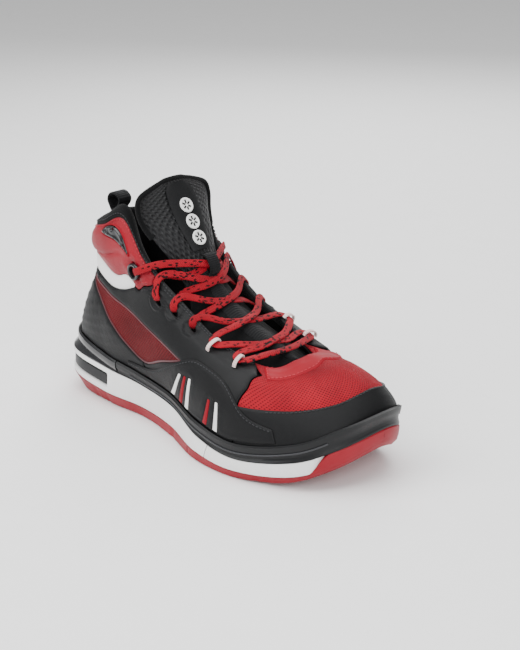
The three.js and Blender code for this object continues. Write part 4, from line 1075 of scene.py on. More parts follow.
@dataclass
class UpperSide:
    """The quarter, window, collar, wing, badge and seams of one side."""

    side: Side
    ring: float = 6.3               # radius of the embossed ring round an eyelet
    bore: float = 10.2              # hole of the grommet in the leather
    crown: float = 1.5              # how far the collar leather domes
    press: float = 1.3              # depth of its pressed line
    film: float = 1.3               # width of the film round the window

    def __post_init__(self) -> None:
        """Lay out the lines that several panels share."""
        self.name = self.side.name.lower()
        turned = np.array([STATIONS if self.side is Side.MEDIAL else 0, 0])
        self.band = CRESCENT.outline(Side.WHOLE, GAP) + turned
        self.heel = HEEL_FACE.outline(Side.WHOLE, 2 * GAP) + turned
        self.vamp = VAMP_EDGE.outline(Side.WHOLE, 2 * GAP)
        self.slashes = [slash_region(s) for s in SLASHES]

    def build(self) -> None:
        """Make the side, from its quarter out to its stitching."""
        self.quarter()
        self.window()
        self.collar()
        self.wing()
        self.badge()
        self.seams()

    def quarter(self) -> None:
        """Make the quarter with its punched and embossed eyelets."""
        side = self.side
        holes = [circle(on_side(u, side), v, EYELET_D) for u, v in HOLES]
        spots = [SKIN.point(on_side(u, side), v)[0] for u, v in HOLES]

        def eyelets(u: Array, v: Array, dist: Array) -> Array:
            """Emboss a ring round each punched eyelet.

            Args:
                u: stations.
                v: heights.
                dist: millimetres from the border.

            Returns:
                Millimetres of relief.
            """
            p = SKIN.point(u, v)
            rise = np.zeros(len(u))
            for spot in spots:
                r = np.linalg.norm(p - spot, axis=1)
                rise += 0.7 * np.exp(-((r - self.ring) / 0.9) ** 2) - 0.25 * np.exp(
                    -((r - self.ring - 1.7) / 0.6) ** 2)
            return rise

        stand_for(Panel(f"quarter_{self.name}_panel", BLACK_SYNTHETIC,
                        [QUARTER.outline(side)],
                        [WINDOW.outline(side, GAP), self.band,
                         COLLAR_FACE.outline(side, 2 * GAP), self.heel, self.vamp, *holes],
                        top=0.0, relief=eyelets, step=2.0).build(),
                  "black_synthetic", f"quarter_{self.name}")

    def window(self) -> None:
        """Make the mesh of the window and the film welded round it."""
        window = WINDOW.outline(self.side)
        stand_for(Panel(f"window_{self.name}_mesh", WINDOW_MESH, [grown(window, 0.6)],
                        top=-1.1, thick=1.0, roll=0.2).build(),
                  "red_mesh", f"mesh_window_{self.name}")
        Panel(f"window_{self.name}_film", PALE_FILM, [window], [grown(window, -self.film)],
              top=-0.35, thick=0.7, roll=0.25, edge=0.5, step=1.0).build()

    def collar(self) -> None:
        """Make the padded collar leather with its pressed line."""
        bore = circle(on_side(GROMMET[0], self.side), GROMMET[1], self.bore)

        def embossed(u: Array, v: Array, dist: Array) -> Array:
            """Crown the collar leather and press its line.

            Args:
                u: stations.
                v: heights.
                dist: millimetres from the border.

            Returns:
                Millimetres of relief.
            """
            round_u = np.minimum(u, STATIONS - u)
            line = 2.62 + 0.10 * (round_u - 1.2)
            groove = np.exp(-(((v - line) * 26) / 1.2) ** 2) * smoothstep(0.3, 0.8, round_u)
            groove = groove * (1 - smoothstep(2.7, 3.1, round_u))
            return self.crown * smoothstep(0, 9, dist) - self.press * groove

        red = Panel(f"collar_{self.name}_leather", COLLAR_LEATHER,
                    [COLLAR_FACE.outline(self.side)], [self.band, bore], top=-0.2, thick=2.3,
                    roll=1.0, edge=2.6, relief=embossed, step=2.1).build()
        stand_for(red, "collar_leather", f"collar_{self.name}")
        self.fill_collar(red)

    def wing(self) -> None:
        """Make the welded wing and the slashes set into it."""

        def border(u: Array, v: Array, dist: Array) -> Array:
            """Return the pressed border line of the wing."""
            return 0.35 * np.exp(-((dist - 3.2) / 0.7) ** 2)

        stand_for(Panel(f"wing_{self.name}", BLACK_SYNTHETIC,
                        [SIDE_OVERLAY.outline(self.side)],
                        [r.outline(self.side, 0.35, 12) for r in self.slashes], top=1.25,
                        thick=1.3, roll=0.5, edge=1.0, relief=border, step=1.9).build(),
                  "black_synthetic", f"side_overlay_{self.name}")
        for k, r in enumerate(self.slashes):
            made = Panel(f"vent_{self.name}_{k + 1}", RED_FILM if k % 2 else WHITE_FILM,
                         [r.outline(self.side, 0.25, 12)], top=1.45, thick=1.0, roll=0.5,
                         edge=0.9, step=1.0).build()
            stand_for(made, "red_film" if k % 2 else "white_tpu",
                      f"vent_strip_{self.name}_{k + 1}")

    def seams(self) -> None:
        """Sew the throat edge, the wing and the collar."""
        side, collar = self.side, COLLAR_FACE.outline(self.side)
        lines = []
        for start, v in ((4.35, 3.84), (4.45, 3.66)):
            row = np.array([(on_side(u, side), v) for u in np.linspace(start, 6.6, 150)])
            lines += seam(row, 0.3, [collar, self.vamp])
        lines += seam(grown(SIDE_OVERLAY.outline(side), -1.7), 1.5,
                      [r.outline(side, 1.0, 12) for r in self.slashes], low=0.24)
        lines += seam(grown(collar, 2.4), 0.3,
                      [self.band, CRESCENT.outline(Side.WHOLE, 3.0)], low=2.3)
        stitches(f"quarter_{self.name}_stitching", lines, BLACK_THREAD)
        stitches(f"collar_{self.name}_stitching",
                 seam(grown(collar, -2.2), 0.35, [CRESCENT.outline(Side.WHOLE, 1.5)],
                      low=2.2, high=3.7), RED_THREAD)

    @staticmethod
    def fill_collar(red: bpy.types.Object) -> None:
        """Swell the collar leather over its padding, held along its seams.

        Args:
            red: the leather of one side.
        """
        co = np.array([v.co for v in red.data.vertices]) * 1000
        half = len(co) // 2
        edges = {}
        for p in red.data.polygons:
            for a, b in p.edge_keys:
                edges[(a, b)] = edges.get((a, b), 0) + 1
        mixed = {a for (a, b) in edges if (a < half) != (b < half)}
        mixed |= {b for (a, b) in edges if (a < half) != (b < half)}
        swell(red, np.array(sorted(mixed | set(range(half, len(co))))), 2.5, 1.6)

    def badge(self) -> None:
        """Make the moulded badge with its three dimples, its rim and the grommet."""
        side, name = self.side, self.name
        shape = BADGE.outline(side)
        dots = [circle(on_side(u, side), v, 1.9, 14)
                for u, v in ((2.3, 3.45), (2.62, 3.42), (3.04, 3.08))]

        def dished(u: Array, v: Array, dist: Array) -> Array:
            """Return the dished face of the badge."""
            return 0.5 * np.exp(-((dist - 1.6) / 0.8) ** 2) - 0.3 * smoothstep(3, 6, dist)

        stand_for(Panel(f"badge_{name}", GREY_TPU, [shape], dots, top=2.7, thick=2.4,
                        roll=0.9, edge=1.2, relief=dished, step=1.1).build(), "grey_tpu",
                  f"collar_badge_{name}")
        Panel(f"badge_{name}_rim", RED_FILM, [grown(shape, 1.3)], [grown(shape, 0.2)],
              top=2.1, thick=1.8, roll=0.5, edge=0.6, step=0.8).build()
        u, v = on_side(GROMMET[0], side), GROMMET[1]
        base, _, over, n = SKIN.frame_at(u, v)
        across = np.cross(n, over)
        profile = ((3.9, -2.6), (4.0, 1.6), (4.4, 2.5), (5.3, 2.8), (6.2, 2.4), (6.6, 1.4),
                   (6.4, 0.6), (4.7, 0.4), (4.6, -2.6))
        turn = full_turn(40)
        rings = np.array([[base + (r * math.cos(a)) * over + (r * math.sin(a)) * across
                           + n * h for r, h in profile] for a in turn])
        ring = lofted(f"grommet_{name}", rings, GREY_TPU, closed=True)
        stand_for(ring, "grey_tpu", f"collar_grommet_{name}")


@dataclass
class Upper:
    """All panels over the last, their linings and their stitching."""

    def build(self) -> None:
        """Make both sides, then what crosses the heel or the toe."""
        self.heel()
        for side in (Side.LATERAL, Side.MEDIAL):
            UpperSide(side).build()
        self.vamp()
        self.linings()

    def heel(self) -> None:
        """Make the ankle band, the heel panel and the back strip."""
        windows = [WINDOW.outline(s, GAP) for s in (Side.LATERAL, Side.MEDIAL)]
        band = CRESCENT.outline(Side.WHOLE)

        def rounded(u: Array, v: Array, dist: Array) -> Array:
            """Return the crown of the band."""
            return 0.7 * smoothstep(0, 6, dist)

        stand_for(Panel("ankle_band", WHITE_SYNTHETIC, [band], top=0.1, roll=1.1, edge=2.6,
                        relief=rounded, step=1.8).build(), "white_synthetic", "ankle_stripe")

        def ribs(u: Array, v: Array, dist: Array) -> Array:
            """Return the embossed slanting lines of the heel panel."""
            round_u = np.minimum(np.mod(u, STATIONS), STATIONS - np.mod(u, STATIONS))
            cross = np.abs(np.mod(v * 30 - round_u * 13, 7.5) - 3.75)
            area = smoothstep(0.3, 0.8, round_u) * (1 - smoothstep(2.2, 2.7, round_u))
            return 0.45 * np.exp(-(cross / 0.8) ** 2) * area * smoothstep(1, 4, dist)

        panel = HEEL_FACE.outline(Side.WHOLE)
        stand_for(Panel("heel_panel", BLACK_SYNTHETIC, [panel],
                        windows + [CRESCENT.outline(Side.WHOLE, GAP),
                                   np.array([(-3, 2.45), (3, 2.45), (3, 4.2), (-3, 4.2)])],
                        top=0.2, relief=ribs).build(), "black_synthetic", "heel_overlay")
        stand_for(Panel("back_strip", WEBBING, [BACKSTAY.outline(Side.WHOLE)], top=1.0,
                        thick=3.0, step=1.2, edge=0.9).build(), "black_webbing", "backstay")
        row = np.stack([np.linspace(-2.3, 2.3, 120), np.full(120, 1.85)], axis=1)
        stitches("heel_panel_seam",
                 seam(row, 0.35, [CRESCENT.outline(Side.WHOLE, 1.0), *windows]), BLACK_THREAD)

    def vamp(self) -> None:
        """Make the mesh vamp, the toe rand and the throat trim."""
        whole = VAMP_EDGE.outline(Side.WHOLE)
        rand, trim = RAND.outline(Side.WHOLE), THROAT_TRIM.outline(Side.WHOLE)

        def soft(u: Array, v: Array, dist: Array) -> Array:
            """Return the slight crown of the stretched mesh."""
            return 0.5 * smoothstep(0, 12, dist)

        stand_for(Panel("vamp_mesh_panel", RED_MESH, [whole], top=-1.2, thick=1.0, roll=0.2,
                        relief=soft, step=2.4).build(), "red_mesh", "vamp_mesh")
        stand_for(Panel("toe_rand", BLACK_SYNTHETIC, [rand, whole], top=0.15, thick=1.4,
                        roll=0.8, edge=1.6).build(), "black_synthetic", "toe_guard")
        stand_for(Panel("throat_band", RED_FILM, [trim, whole], top=0.25, thick=1.5, roll=0.9,
                        edge=2.0, relief=soft, step=1.9).build(), "red_film", "throat_trim")
        lines = seam(grown(trim, -1.8), 0.5, [], low=2.15, high=3.7)
        stitches("throat_stitching", lines, RED_THREAD)
        edge = np.array([(u, np.interp(u, (5.6, 6.4, 7.2, 8.1, 9), (0.9, 0.94, 0.92, 0.84,
                                                                    0.89)))
                         for u in np.linspace(6.2, 9, 160)])
        mirrored = np.stack([STATIONS - edge[::-1, 0], edge[::-1, 1]], axis=1)
        stitches("rand_stitching", seam(np.vstack([edge, mirrored[1:]]), 0.45,
                                        [QUARTER.outline(Side.LATERAL),
                                         QUARTER.outline(Side.MEDIAL)]), BLACK_THREAD)

    @staticmethod
    def linings() -> None:
        """Make the linings, rolled over the top line of the collar."""
        spans = (("lining_heel", -1.6, 1.6), ("lining_lateral", 1.6, 5.94),
                 ("lining_vamp", 5.94, 12.06), ("lining_medial", 12.06, 16.4))
        for name, start, end in spans:
            u = np.linspace(start, end, int((end - start) / 0.07) + 2)
            round_u = np.minimum(np.mod(u, STATIONS), STATIONS - np.mod(u, STATIONS))
            deep = PAD_DEPTH * (1 - smoothstep(2.9, 4.0, round_u))
            ankle = 1 - smoothstep(3.7, 4.3, round_u)
            rows = []
            for v in np.linspace(-0.85, 3.55, 34):
                rows.append((np.full(len(u), v),
                             LINING_IN - deep * smoothstep(2.0, 2.6, np.full(len(u), v))))
            bead = ((3.75, 3.8, -9.4, -5.8), (3.95, 3.92, -8.3, -5.2), (4.09, 3.99, -6.2, -4.4),
                    (4.13, 4.0, -4.0, -3.5), (4.09, 4.0, -1.7, -2.9), (3.98, 3.98, -0.2, -2.6),
                    (3.86, 3.95, 0.1, -2.6), (3.76, 3.9, -0.5, -2.8), (3.6, 3.8, -2.2, -3.2))
            for v_pad, v_thin, d_pad, d_thin in bead:
                v = v_thin + (v_pad - v_thin) * ankle
                rows.append((v, d_thin + (d_pad - d_thin) * ankle))
            grid = np.array([SKIN.offset(u, v, d) for v, d in rows])
            low = np.array([SKIN.offset(u, np.full(len(u), v), np.full(len(u), -4.3))
                            for v in (3.2, 1.5, -0.85)])
            stack = np.concatenate([grid, low]).transpose(1, 0, 2)
            n, k = stack.shape[:2]
            along = np.stack([np.repeat(u * PER_U * MM, k),
                              np.tile(np.arange(k) * 0.0036, n)], axis=1)
            made = lofted(f"{name}_cloth", stack, LINING, "shoe", along)
            stand_for(made, "black_textile", name)


# ---- tongue -------------------------------------------------------------------
RIDGE = ((86, 71), (70, 76), (50, 82), (28, 90), (8, 101.5), (-5, 115), (-14, 130.5),
         (-26, 150), (-34, 163), (-41, 174), (-45, 181))
TUCK = ((8.4, 3.5), (7.5, 3.3), (6.6, 3.2), (5.85, 3.25), (5.2, 3.25))
TUCK_IN = -5.9 - 1.7 - 9 * GAP
FREE = ((19.5, 7, 10.5), (22.5, 10, 6), (32.6, 15.5, 1), (35.4, 11.5, 0), (31, 5, 1.5),
        (15, 1, 2))
TONGUE_T = 6.5
ALONG = 10                                  # fine rows for each control row
ACROSS = 28


class Tongue:
    """The padded tongue with its plate, badges and lace keeper."""

    def __init__(self) -> None:
        """Lay out the front face."""
        rows = []
        for i, (x, z) in enumerate(RIDGE):
            c = np.array([x, 0, z], float) - ORIGIN
            if i < len(TUCK):
                u, v = TUCK[i]
                left = [SKIN.offset(u, v, [TUCK_IN])[0],
                        SKIN.offset(u, v + 0.5, [TUCK_IN - 0.4])[0]]
                right = [SKIN.offset(STATIONS - u, v + 0.5, [TUCK_IN - 0.4])[0],
                         SKIN.offset(STATIONS - u, v, [TUCK_IN])[0]]
                control = [*left, c, *right]
            else:
                half, back, drop = FREE[i - len(TUCK)]
                control = [c + (-b, k * half, -d) for k, b, d in (
                    (-1, back, drop), (-0.62, back * 0.36, drop * 0.3), (0, 0, 0),
                    (0.62, back * 0.36, drop * 0.3), (1, back, drop))]
            rows.append(smooth_line(control, ACROSS))
        rows = np.array(rows)
        cols = []
        for j in range(ACROSS + 1):
            line = []
            for i in range(len(rows) - 1):
                a, b = rows[max(i - 1, 0), j], rows[i, j]
                c, d = rows[i + 1, j], rows[min(i + 2, len(rows) - 1), j]
                for t in np.linspace(0, 1, ALONG, endpoint=False):
                    line.append(hermite(a, b, c, d, t))
            cols.append(line + [rows[-1, j]])
        self.front = np.array(cols).transpose(1, 0, 2)
        du = np.gradient(self.front, axis=1)
        dv = np.gradient(self.front, axis=0)
        n = unit(np.cross(dv, du))
        self.normal = n * np.where(n[:, ACROSS // 2, 2:3] < 0, -1, 1)[:, None]

    def at(self, r: float, a: float, h: float) -> tuple[Array, Array]:
        """Return a point at height h over the front, and its direction.

        Args:
            r: control row.
            a: 0 lateral edge to 1 medial edge.
            h: height in millimetres.

        Returns:
            The point and its direction.
        """
        i = min(r * ALONG, len(self.front) - 1.001)
        j = min(max(a, 0), 0.9999) * ACROSS
        i0, j0 = int(i), int(j)
        p, n = (sum(w * g[i0 + di, j0 + dj] for di, dj, w in (
            (0, 0, (1 - i + i0) * (1 - j + j0)), (1, 0, (i - i0) * (1 - j + j0)),
            (0, 1, (1 - i + i0) * (j - j0)), (1, 1, (i - i0) * (j - j0))))
            for g in (self.front, self.normal))
        n = unit(n)
        return p + n * h, n

    def build(self) -> None:
        """Make the tongue and everything sewn to it."""
        self.padding()
        self.plate()
        self.badges()
        self.binding()
        self.keeper()

    def padding(self) -> None:
        """Make the padded body, thin at its bound edges."""
        n, k = self.front.shape[:2]
        edge = np.minimum(np.arange(k), k - 1 - np.arange(k)) / (k - 1) * 2
        row = np.arange(n) / ALONG
        ends = 1 - smoothstep(9.4, 10.0, row)
        full = (0.35 + 0.65 * smoothstep(0, 0.35, edge))[None] * (0.45 + 0.55 * ends)[:, None]
        thick = TONGUE_T * full * (0.4 + 0.6 * smoothstep(0, 0.8, row))[:, None]
        ribbed = np.cos(row[:, None] * 2 * math.pi * 2.6) * 0.35 * (1 - smoothstep(
            4.6, 5.2, row))[:, None] * smoothstep(0.1, 0.4, edge)[None]
        rib = ribbed - 0.35
        crown = -0.9 * (1 - smoothstep(0, 0.22, edge))[None] - 0.8 * smoothstep(
            9.5, 10.0, row)[:, None]
        front = self.front + self.normal * (rib + crown)[:, :, None]
        back = self.front - self.normal * np.maximum(thick, 2.2)[:, :, None]
        sections = np.concatenate([front, back[:, ::-1]], axis=1)
        m = sections.shape[1]
        run = np.concatenate([np.linspace(-0.04, 0.04, k), np.linspace(0.04, -0.04, k)])
        along = np.stack([np.repeat(row * 0.017, m), np.tile(run, n)], axis=1)
        made = make_mesh("tongue_padded", sections.reshape(-1, 3), loft(sections, False),
                         BUBBLE_MESH, "", along, 70)
        made.data.materials.append(material_of(LINING))
        for p in made.data.polygons:
            v = [i % m for i in p.vertices]
            r = min(i // m for i in p.vertices) / ALONG
            if min(v) >= k - 1 or r < 4.9:
                p.material_index = 1
        pins = [i for i in range(n * m) if i % m in (0, k - 1, k, m - 1)
                or i // m < 6 * ALONG or i // m > n - 3]
        swell(made, np.array(pins), 1.5, 1.0)
        stand_for(made, "black_textile", "tongue", "tongue_top")
        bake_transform(made)

    def strip(self, name: str, rows: Array, width: Callable, low: float, high: float,
              finish: Finish, body: str, crown: float = 0.3) -> bpy.types.Object:
        """Make a flat plate on the front face.

        Args:
            name: the piece's name.
            rows: control rows it passes.
            width: half width as a share of the tongue for each row.
            low: height of its back.
            high: height of its face.
            finish: its material.
            body: what it rides on.
            crown: how much the middle stands proud.

        Returns:
            The new object.
        """
        sections, flat = [], []
        for r in rows:
            w = width(r)
            a = np.linspace(-1, 1, 15)
            lift = high - 0.35 * np.abs(a) ** 6 + crown * (1 - a ** 2)
            face = [self.at(r, 0.5 + k * w, h)[0] for k, h in zip(a, lift)]
            back = [self.at(r, 0.5 + k * w, low)[0] for k in a[::-1]]
            sections.append(face + back)
            flat += [(r * 0.017, k * w * 0.07) for k in list(a) + list(a[::-1])]
        return lofted(name, sections, finish, body, np.array(flat))

    def plate(self) -> None:
        """Make the smooth centre strip of the upper tongue."""
        rows = np.linspace(6.12, 9.5, 40)
        made = self.strip("tongue_plate", rows, lambda r: np.interp(
            r, (6.1, 7.5, 9.0, 9.5), (0.16, 0.17, 0.19, 0.17)), 0.2, 1.1, BLACK_SYNTHETIC,
            "tongue_flap")
        stand_for(made, "black_synthetic", "tongue_overlay")
        self.strip("tongue_lower_strip", np.linspace(0.5, 4.6, 40), lambda r: 0.11, -0.5, 0.15,
                   WEBBING, "shoe", 0.1)

    def badges(self) -> None:
        """Make three round badges, each with a raised rim and a plain domed middle."""
        for i, r in enumerate((6.49, 7.07, 7.92)):
            p, n = self.at(r, 0.5, 1.35)
            over = unit(np.cross((0, 1, 0), n))
            across = np.cross(n, over)
            rings = []
            turn = full_turn(36)
            profile = ((0.01, 0.1), (1.0, 0.1), (2.2, 0.1), (2.5, 0.1), (3.9, 0.1),
                       (4.2, 0.5), (5.0, 0.75), (5.5, 0.6), (5.8, 0.1), (5.8, -0.6),
                       (0.01, -0.6))
            for a in turn:
                rings.append([p + over * q * math.cos(a) + across * q * math.sin(a) + n * h
                              for q, h in profile])
            made = lofted(f"round_badge_{i + 1}", rings, WHITE_FILM, "tongue_flap",
                          closed=True)
            stand_for(made, "white_tpu", f"tongue_badge_{i + 1}")
            spokes = []
            for k in range(6):
                b = 2 * math.pi * k / 6
                way = over * math.cos(b) + across * math.sin(b)
                aside = np.cross(n, way)
                spokes.append([p + way * q + aside * s * 0.6 + n * h
                               for q in (1.3, 3.9) for s in (-1, 1) for h in (0.0, 0.45)])
            quads = ((0, 1, 3, 2), (4, 6, 7, 5), (0, 4, 5, 1), (2, 3, 7, 6), (0, 2, 6, 4),
                     (1, 5, 7, 3))
            faces = [tuple(8 * j + v for v in q) for j in range(6) for q in quads]
            make_mesh(f"round_badge_{i + 1}_bars", np.array(spokes).reshape(-1, 3), faces,
                      BLACK_SYNTHETIC, "tongue_flap")

    def binding(self) -> None:
        """Make the rolled binding round the free edge of the tongue."""
        start = int(6.75 * ALONG)
        left = self.front[start:-2, 0] - self.normal[start:-2, 0] * 1.3
        top = self.front[-1] - self.normal[-1] * 1.9
        right = (self.front[start:-2, -1] - self.normal[start:-2, -1] * 1.3)[::-1]
        path = smooth_line(np.vstack([left, top[1:-1:3], right]), 150)
        tube("tongue_binding", path, 2.1, LINING, "tongue_flap")

    def keeper(self) -> None:
        """Make the webbing keeper that holds the crossed laces."""
        stand_for(strap("keeper_tape", self.keeper_path(), np.array([0.0, 1.0, 0.0]), 10.0,
                        1.1, WEBBING, "shoe", self.keeper_at(0, -30), 60), "black_webbing",
                  "lace_keeper")

    def keeper_at(self, s: float, h: float) -> Array:
        """Find a point by the lace keeper.

        Args:
            s: millimetres along the ridge from the keeper's middle.
            h: millimetres over it.

        Returns:
            The point.
        """
        k0 = np.array([RIDGE[5][0], 0, RIDGE[5][1]]) - ORIGIN
        k2 = np.array([RIDGE[6][0], 0, RIDGE[6][1]]) - ORIGIN
        along = unit(k2 - k0)
        out = np.array([along[2], 0, -along[0]])
        return (k0 + k2) / 2 + along * s + out * h

    def keeper_path(self) -> list:
        """Return the middle line of the keeper tape."""
        rise = 2 * LACE_T + 5.7 * GAP
        return [self.keeper_at(*q) for q in (
            (-9.6, 1.1), (-8, 1.2), (-6.6, rise * 0.75), (-3.6, rise + 0.2),
            (3.2, rise + 0.2), (6, rise * 0.75), (7, 1.2), (8.2, 1.0))]


def tube(name: str, path: Array, radius: float, finish: Finish, body: str,
         closed: bool = False) -> bpy.types.Object:
    """Make a round cord along a path.

    Args:
        name: the piece's name.
        path: points of its middle line.
        radius: in millimetres.
        finish: its material.
        body: what it rides on.
        closed: it is an endless loop.

    Returns:
        The new object.
    """
    t = unit(np.gradient(path, axis=0))
    n = unit(np.cross(t, (0.13, 0.94, 0.31)))
    b = np.cross(t, n)
    turn = full_turn(12)
    sections = np.array([[p + radius * (math.cos(a) * nn + math.sin(a) * bb) for a in turn]
                         for p, nn, bb in zip(path, n, b)])
    run = run_along(path)
    flat = np.stack([np.repeat(run * 0.001, 12), np.tile(turn * radius * 0.001, len(path))],
                    axis=1)
    return lofted(name, sections, finish, body, flat, closed)


def strap(name: str, control: Sequence, wide: Array, width: float, thick: float,
          finish: Finish, body: str, middle: Array, count: int,
          closed: bool = False) -> bpy.types.Object:
    """Make a flat tape along a path.

    Args:
        name: the piece's name.
        control: points of its inner face.
        wide: direction of its width.
        width: in millimetres.
        thick: in millimetres, laid away from the middle.
        finish: its material.
        body: what it rides on.
        middle: a point on its inner side.
        count: sections along it.
        closed: whether it is an endless loop.

    Returns:
        The new object.
    """
    path = smooth_line(control, count, closed)
    step = (np.roll(path, -1, axis=0) - np.roll(path, 1, axis=0)) if closed else np.gradient(
        path, axis=0)
    n = unit(np.cross(unit(step), wide))
    n *= np.sign(np.sum((path - middle) * n, axis=1, keepdims=True))
    shape = ((-1, 0.15), (-0.94, 0.02), (-0.5, 0), (0.5, 0), (0.94, 0.02), (1, 0.15),
             (1, 0.85), (0.94, 0.98), (0.5, 1), (-0.5, 1), (-0.94, 0.98), (-1, 0.85))
    sections = np.array([[p + wide * a * width / 2 + m * b * thick for a, b in shape]
                         for p, m in zip(path, n)])
    run = run_along(path)
    flat = np.stack([np.repeat(run * 0.001, len(shape)),
                     np.tile([a * width * 0.0005 for a, _ in shape], len(path))], axis=1)
    return lofted(name, sections, finish, body, flat, closed)


# ---- laces --------------------------------------------------------------------
LACE_T = 1.7
LACE_W = 5.6
CROSS = (GAP + LACE_T / 2 + 0.6, 2 * GAP + 1.5 * LACE_T + 0.8)
OVER_H = GAP + LACE_T / 2 + 0.8
UNDER_H = -4.2 - 1.7 - GAP - LACE_T / 2 - 0.45


@dataclass
class Laces:
    """The lace on its route, the cord loops it turns in and the pull loop at the heel."""

    tongue: Tongue

    def build(self) -> None:
        """Make the loops, the lace and the heel loop."""
        for side in (Side.LATERAL, Side.MEDIAL):
            for k, (u, v) in enumerate(LOOPS):
                base, toe, over, n = SKIN.frame_at(on_side(u, side), v)
                arch = [base + over * d + n * h for d, h in (
                    (-5, 0.5), (-4.6, 2.4), (-2.8, 3.9), (0, 4.3), (3.2, 3.9), (5.2, 2.4),
                    (5.7, 0.5))]
                name = f"{side.name.lower()}_{k + 1}"
                made = strap(f"cord_loop_{name}", arch, toe, 2.7, 1.15, WHITE_CORD, "shoe",
                             base - n * 20, 36)
                stand_for(made, "white_cord", f"lace_loop_{name}")
        path, faces = self.route()
        stand_for(self.ribbon(path, faces), "lace_cord", "lace")
        foot = SKIN.offset(0, 4, [-3.5])[0] + (0, 0, 2.9)
        loop = [foot + (x, 0, z) for x, z in (
            (-1.2, 0.2), (-2.6, 2.5), (-4.8, 7), (-2.6, 11), (2.2, 12), (6.8, 9), (6.4, 6.5),
            (3.2, 2.4), (1.2, 0.2))]
        tape = strap("heel_loop_tape", loop, np.array([0.0, 1.0, 0.0]), 12.0, 1.7, WEBBING,
                     "pull_tab", foot + (1, 0, 6), 72, True)
        stand_for(tape, "black_webbing", "pull_loop")

    def half(self, i: int) -> list:
        """Lay the route from the toe bar up one way.

        Args:
            i: 0 for the end that starts on the lateral side, 1 for the other.

        Returns:
            Pairs of a point and the direction of the lace's face.
        """
        path: list = []
        sides = (Side.LATERAL, Side.MEDIAL)

        def on(s: int, u: float, v: float, h: float) -> None:
            """Add a point over the skin."""
            w = on_side(u, sides[s])
            path.append((SKIN.offset(w, v, [h])[0], SKIN.normal(w, v)[0]))

        def mid(r: float, a: float, h: float) -> None:
            """Add a point over the tongue."""
            path.append(self.tongue.at(r, a, h))

        def bore(s: int, u: float, v: float, h: float) -> None:
            """Add a point inside a hole, its flat face toward the throat."""
            w = on_side(u, sides[s])
            path.append((SKIN.offset(w, v, [h])[0],
                         unit(SKIN.point(w, v + 0.1)[0] - SKIN.point(w, v)[0])))

        def turn(s: int, loop: tuple) -> None:
            """Go through a cord loop."""
            base, toe, over, n = SKIN.frame_at(on_side(loop[0], sides[s]), loop[1])
            for e, d, h in ((7.2, 10, OVER_H - 0.4), (6.6, 5, OVER_H), (0, 0, OVER_H),
                            (-6.6, 5, OVER_H), (-7.2, 10, OVER_H - 0.4)):
                path.append((base + toe * e + over * d + n * h, n))

        def dive(s: int, hole: tuple) -> None:
            """Go over the edge, down through an eyelet and back under.

            Args:
                s: 0 lateral, 1 medial.
                hole: the eyelet in u and v.
            """
            u, v = hole
            on(s, u + 0.04, 4.05, OVER_H + 1.0)
            on(s, u + 0.02, v + 0.65, OVER_H + 0.7)
            on(s, u, v + 0.33, OVER_H)
            on(s, u, v + 0.1, OVER_H - 0.5)
            bore(s, u, v, -1.6)
            bore(s, u, v, -4.6)
            on(s, u, v + 0.12, UNDER_H + 0.1)
            on(s, u, v + 0.4, UNDER_H - 0.15)
            on(s, u - 0.06, 3.97, UNDER_H - 0.1)

        def span(s: int, r: float, level: int, under: bool) -> None:
            """Cross the tongue."""
            k = 1 if s == 0 else -1
            mid(r - 0.12, 0.5 - 0.15 * k, CROSS[0] + 1.2 if under else CROSS[level] + 0.9)
            mid(r, 0.5, CROSS[level] + 0.15)
            mid(r + 0.12, 0.5 + 0.15 * k, CROSS[level] + 0.5)

        o = 1 - i
        k = 1 if i == 0 else -1
        turn(i, LOOPS[0])
        span(i, 1.75, (1 + i) % 2, False)
        turn(o, LOOPS[1])
        span(o, 2.9, i, False)
        dive(i, HOLES[0])
        span(i, 3.85, (1 + i) % 2, True)
        dive(o, HOLES[1])
        span(o, 4.75, i, True)
        dive(i, HOLES[2])
        mid(5.3, 0.5 - 0.42 * k, CROSS[0] + 2.2)
        mid(5.3, 0.5 - 0.25 * k, CROSS[0] + 0.7)
        mid(5.4, 0.5 - 0.12 * k, CROSS[i] + 0.4)
        centre = self.tongue.keeper_at(-0.3, CROSS[i] + 0.15)
        path.append((centre, unit(centre - self.tongue.keeper_at(-0.3, 0))))
        mid(5.6, 0.5 + 0.14 * k, CROSS[i] + 0.5)
        gu, gv = GROMMET
        on(o, 4.04, 3.9, 4.6)
        on(o, gu + 0.36, gv + 0.5, 5.0)
        on(o, gu + 0.12, gv + 0.16, 4.2)
        bore(o, gu, gv, 0.6)
        bore(o, gu, gv, -5)
        on(o, gu - 0.12, gv - 0.2, -11.2)
        on(o, gu - 0.5, gv - 0.45, -12.2)
        on(o, gu - 0.95, gv - 0.6, -12.4)
        return path

    def route(self) -> tuple[Array, Array]:
        """Return the whole route from one tucked end to the other."""
        bar = self.tongue.at(0.95, 0.5, CROSS[0] + 0.9)
        nodes = self.half(0)[::-1] + [bar] + self.half(1)
        return np.array([p for p, _ in nodes]), np.array([n for _, n in nodes])

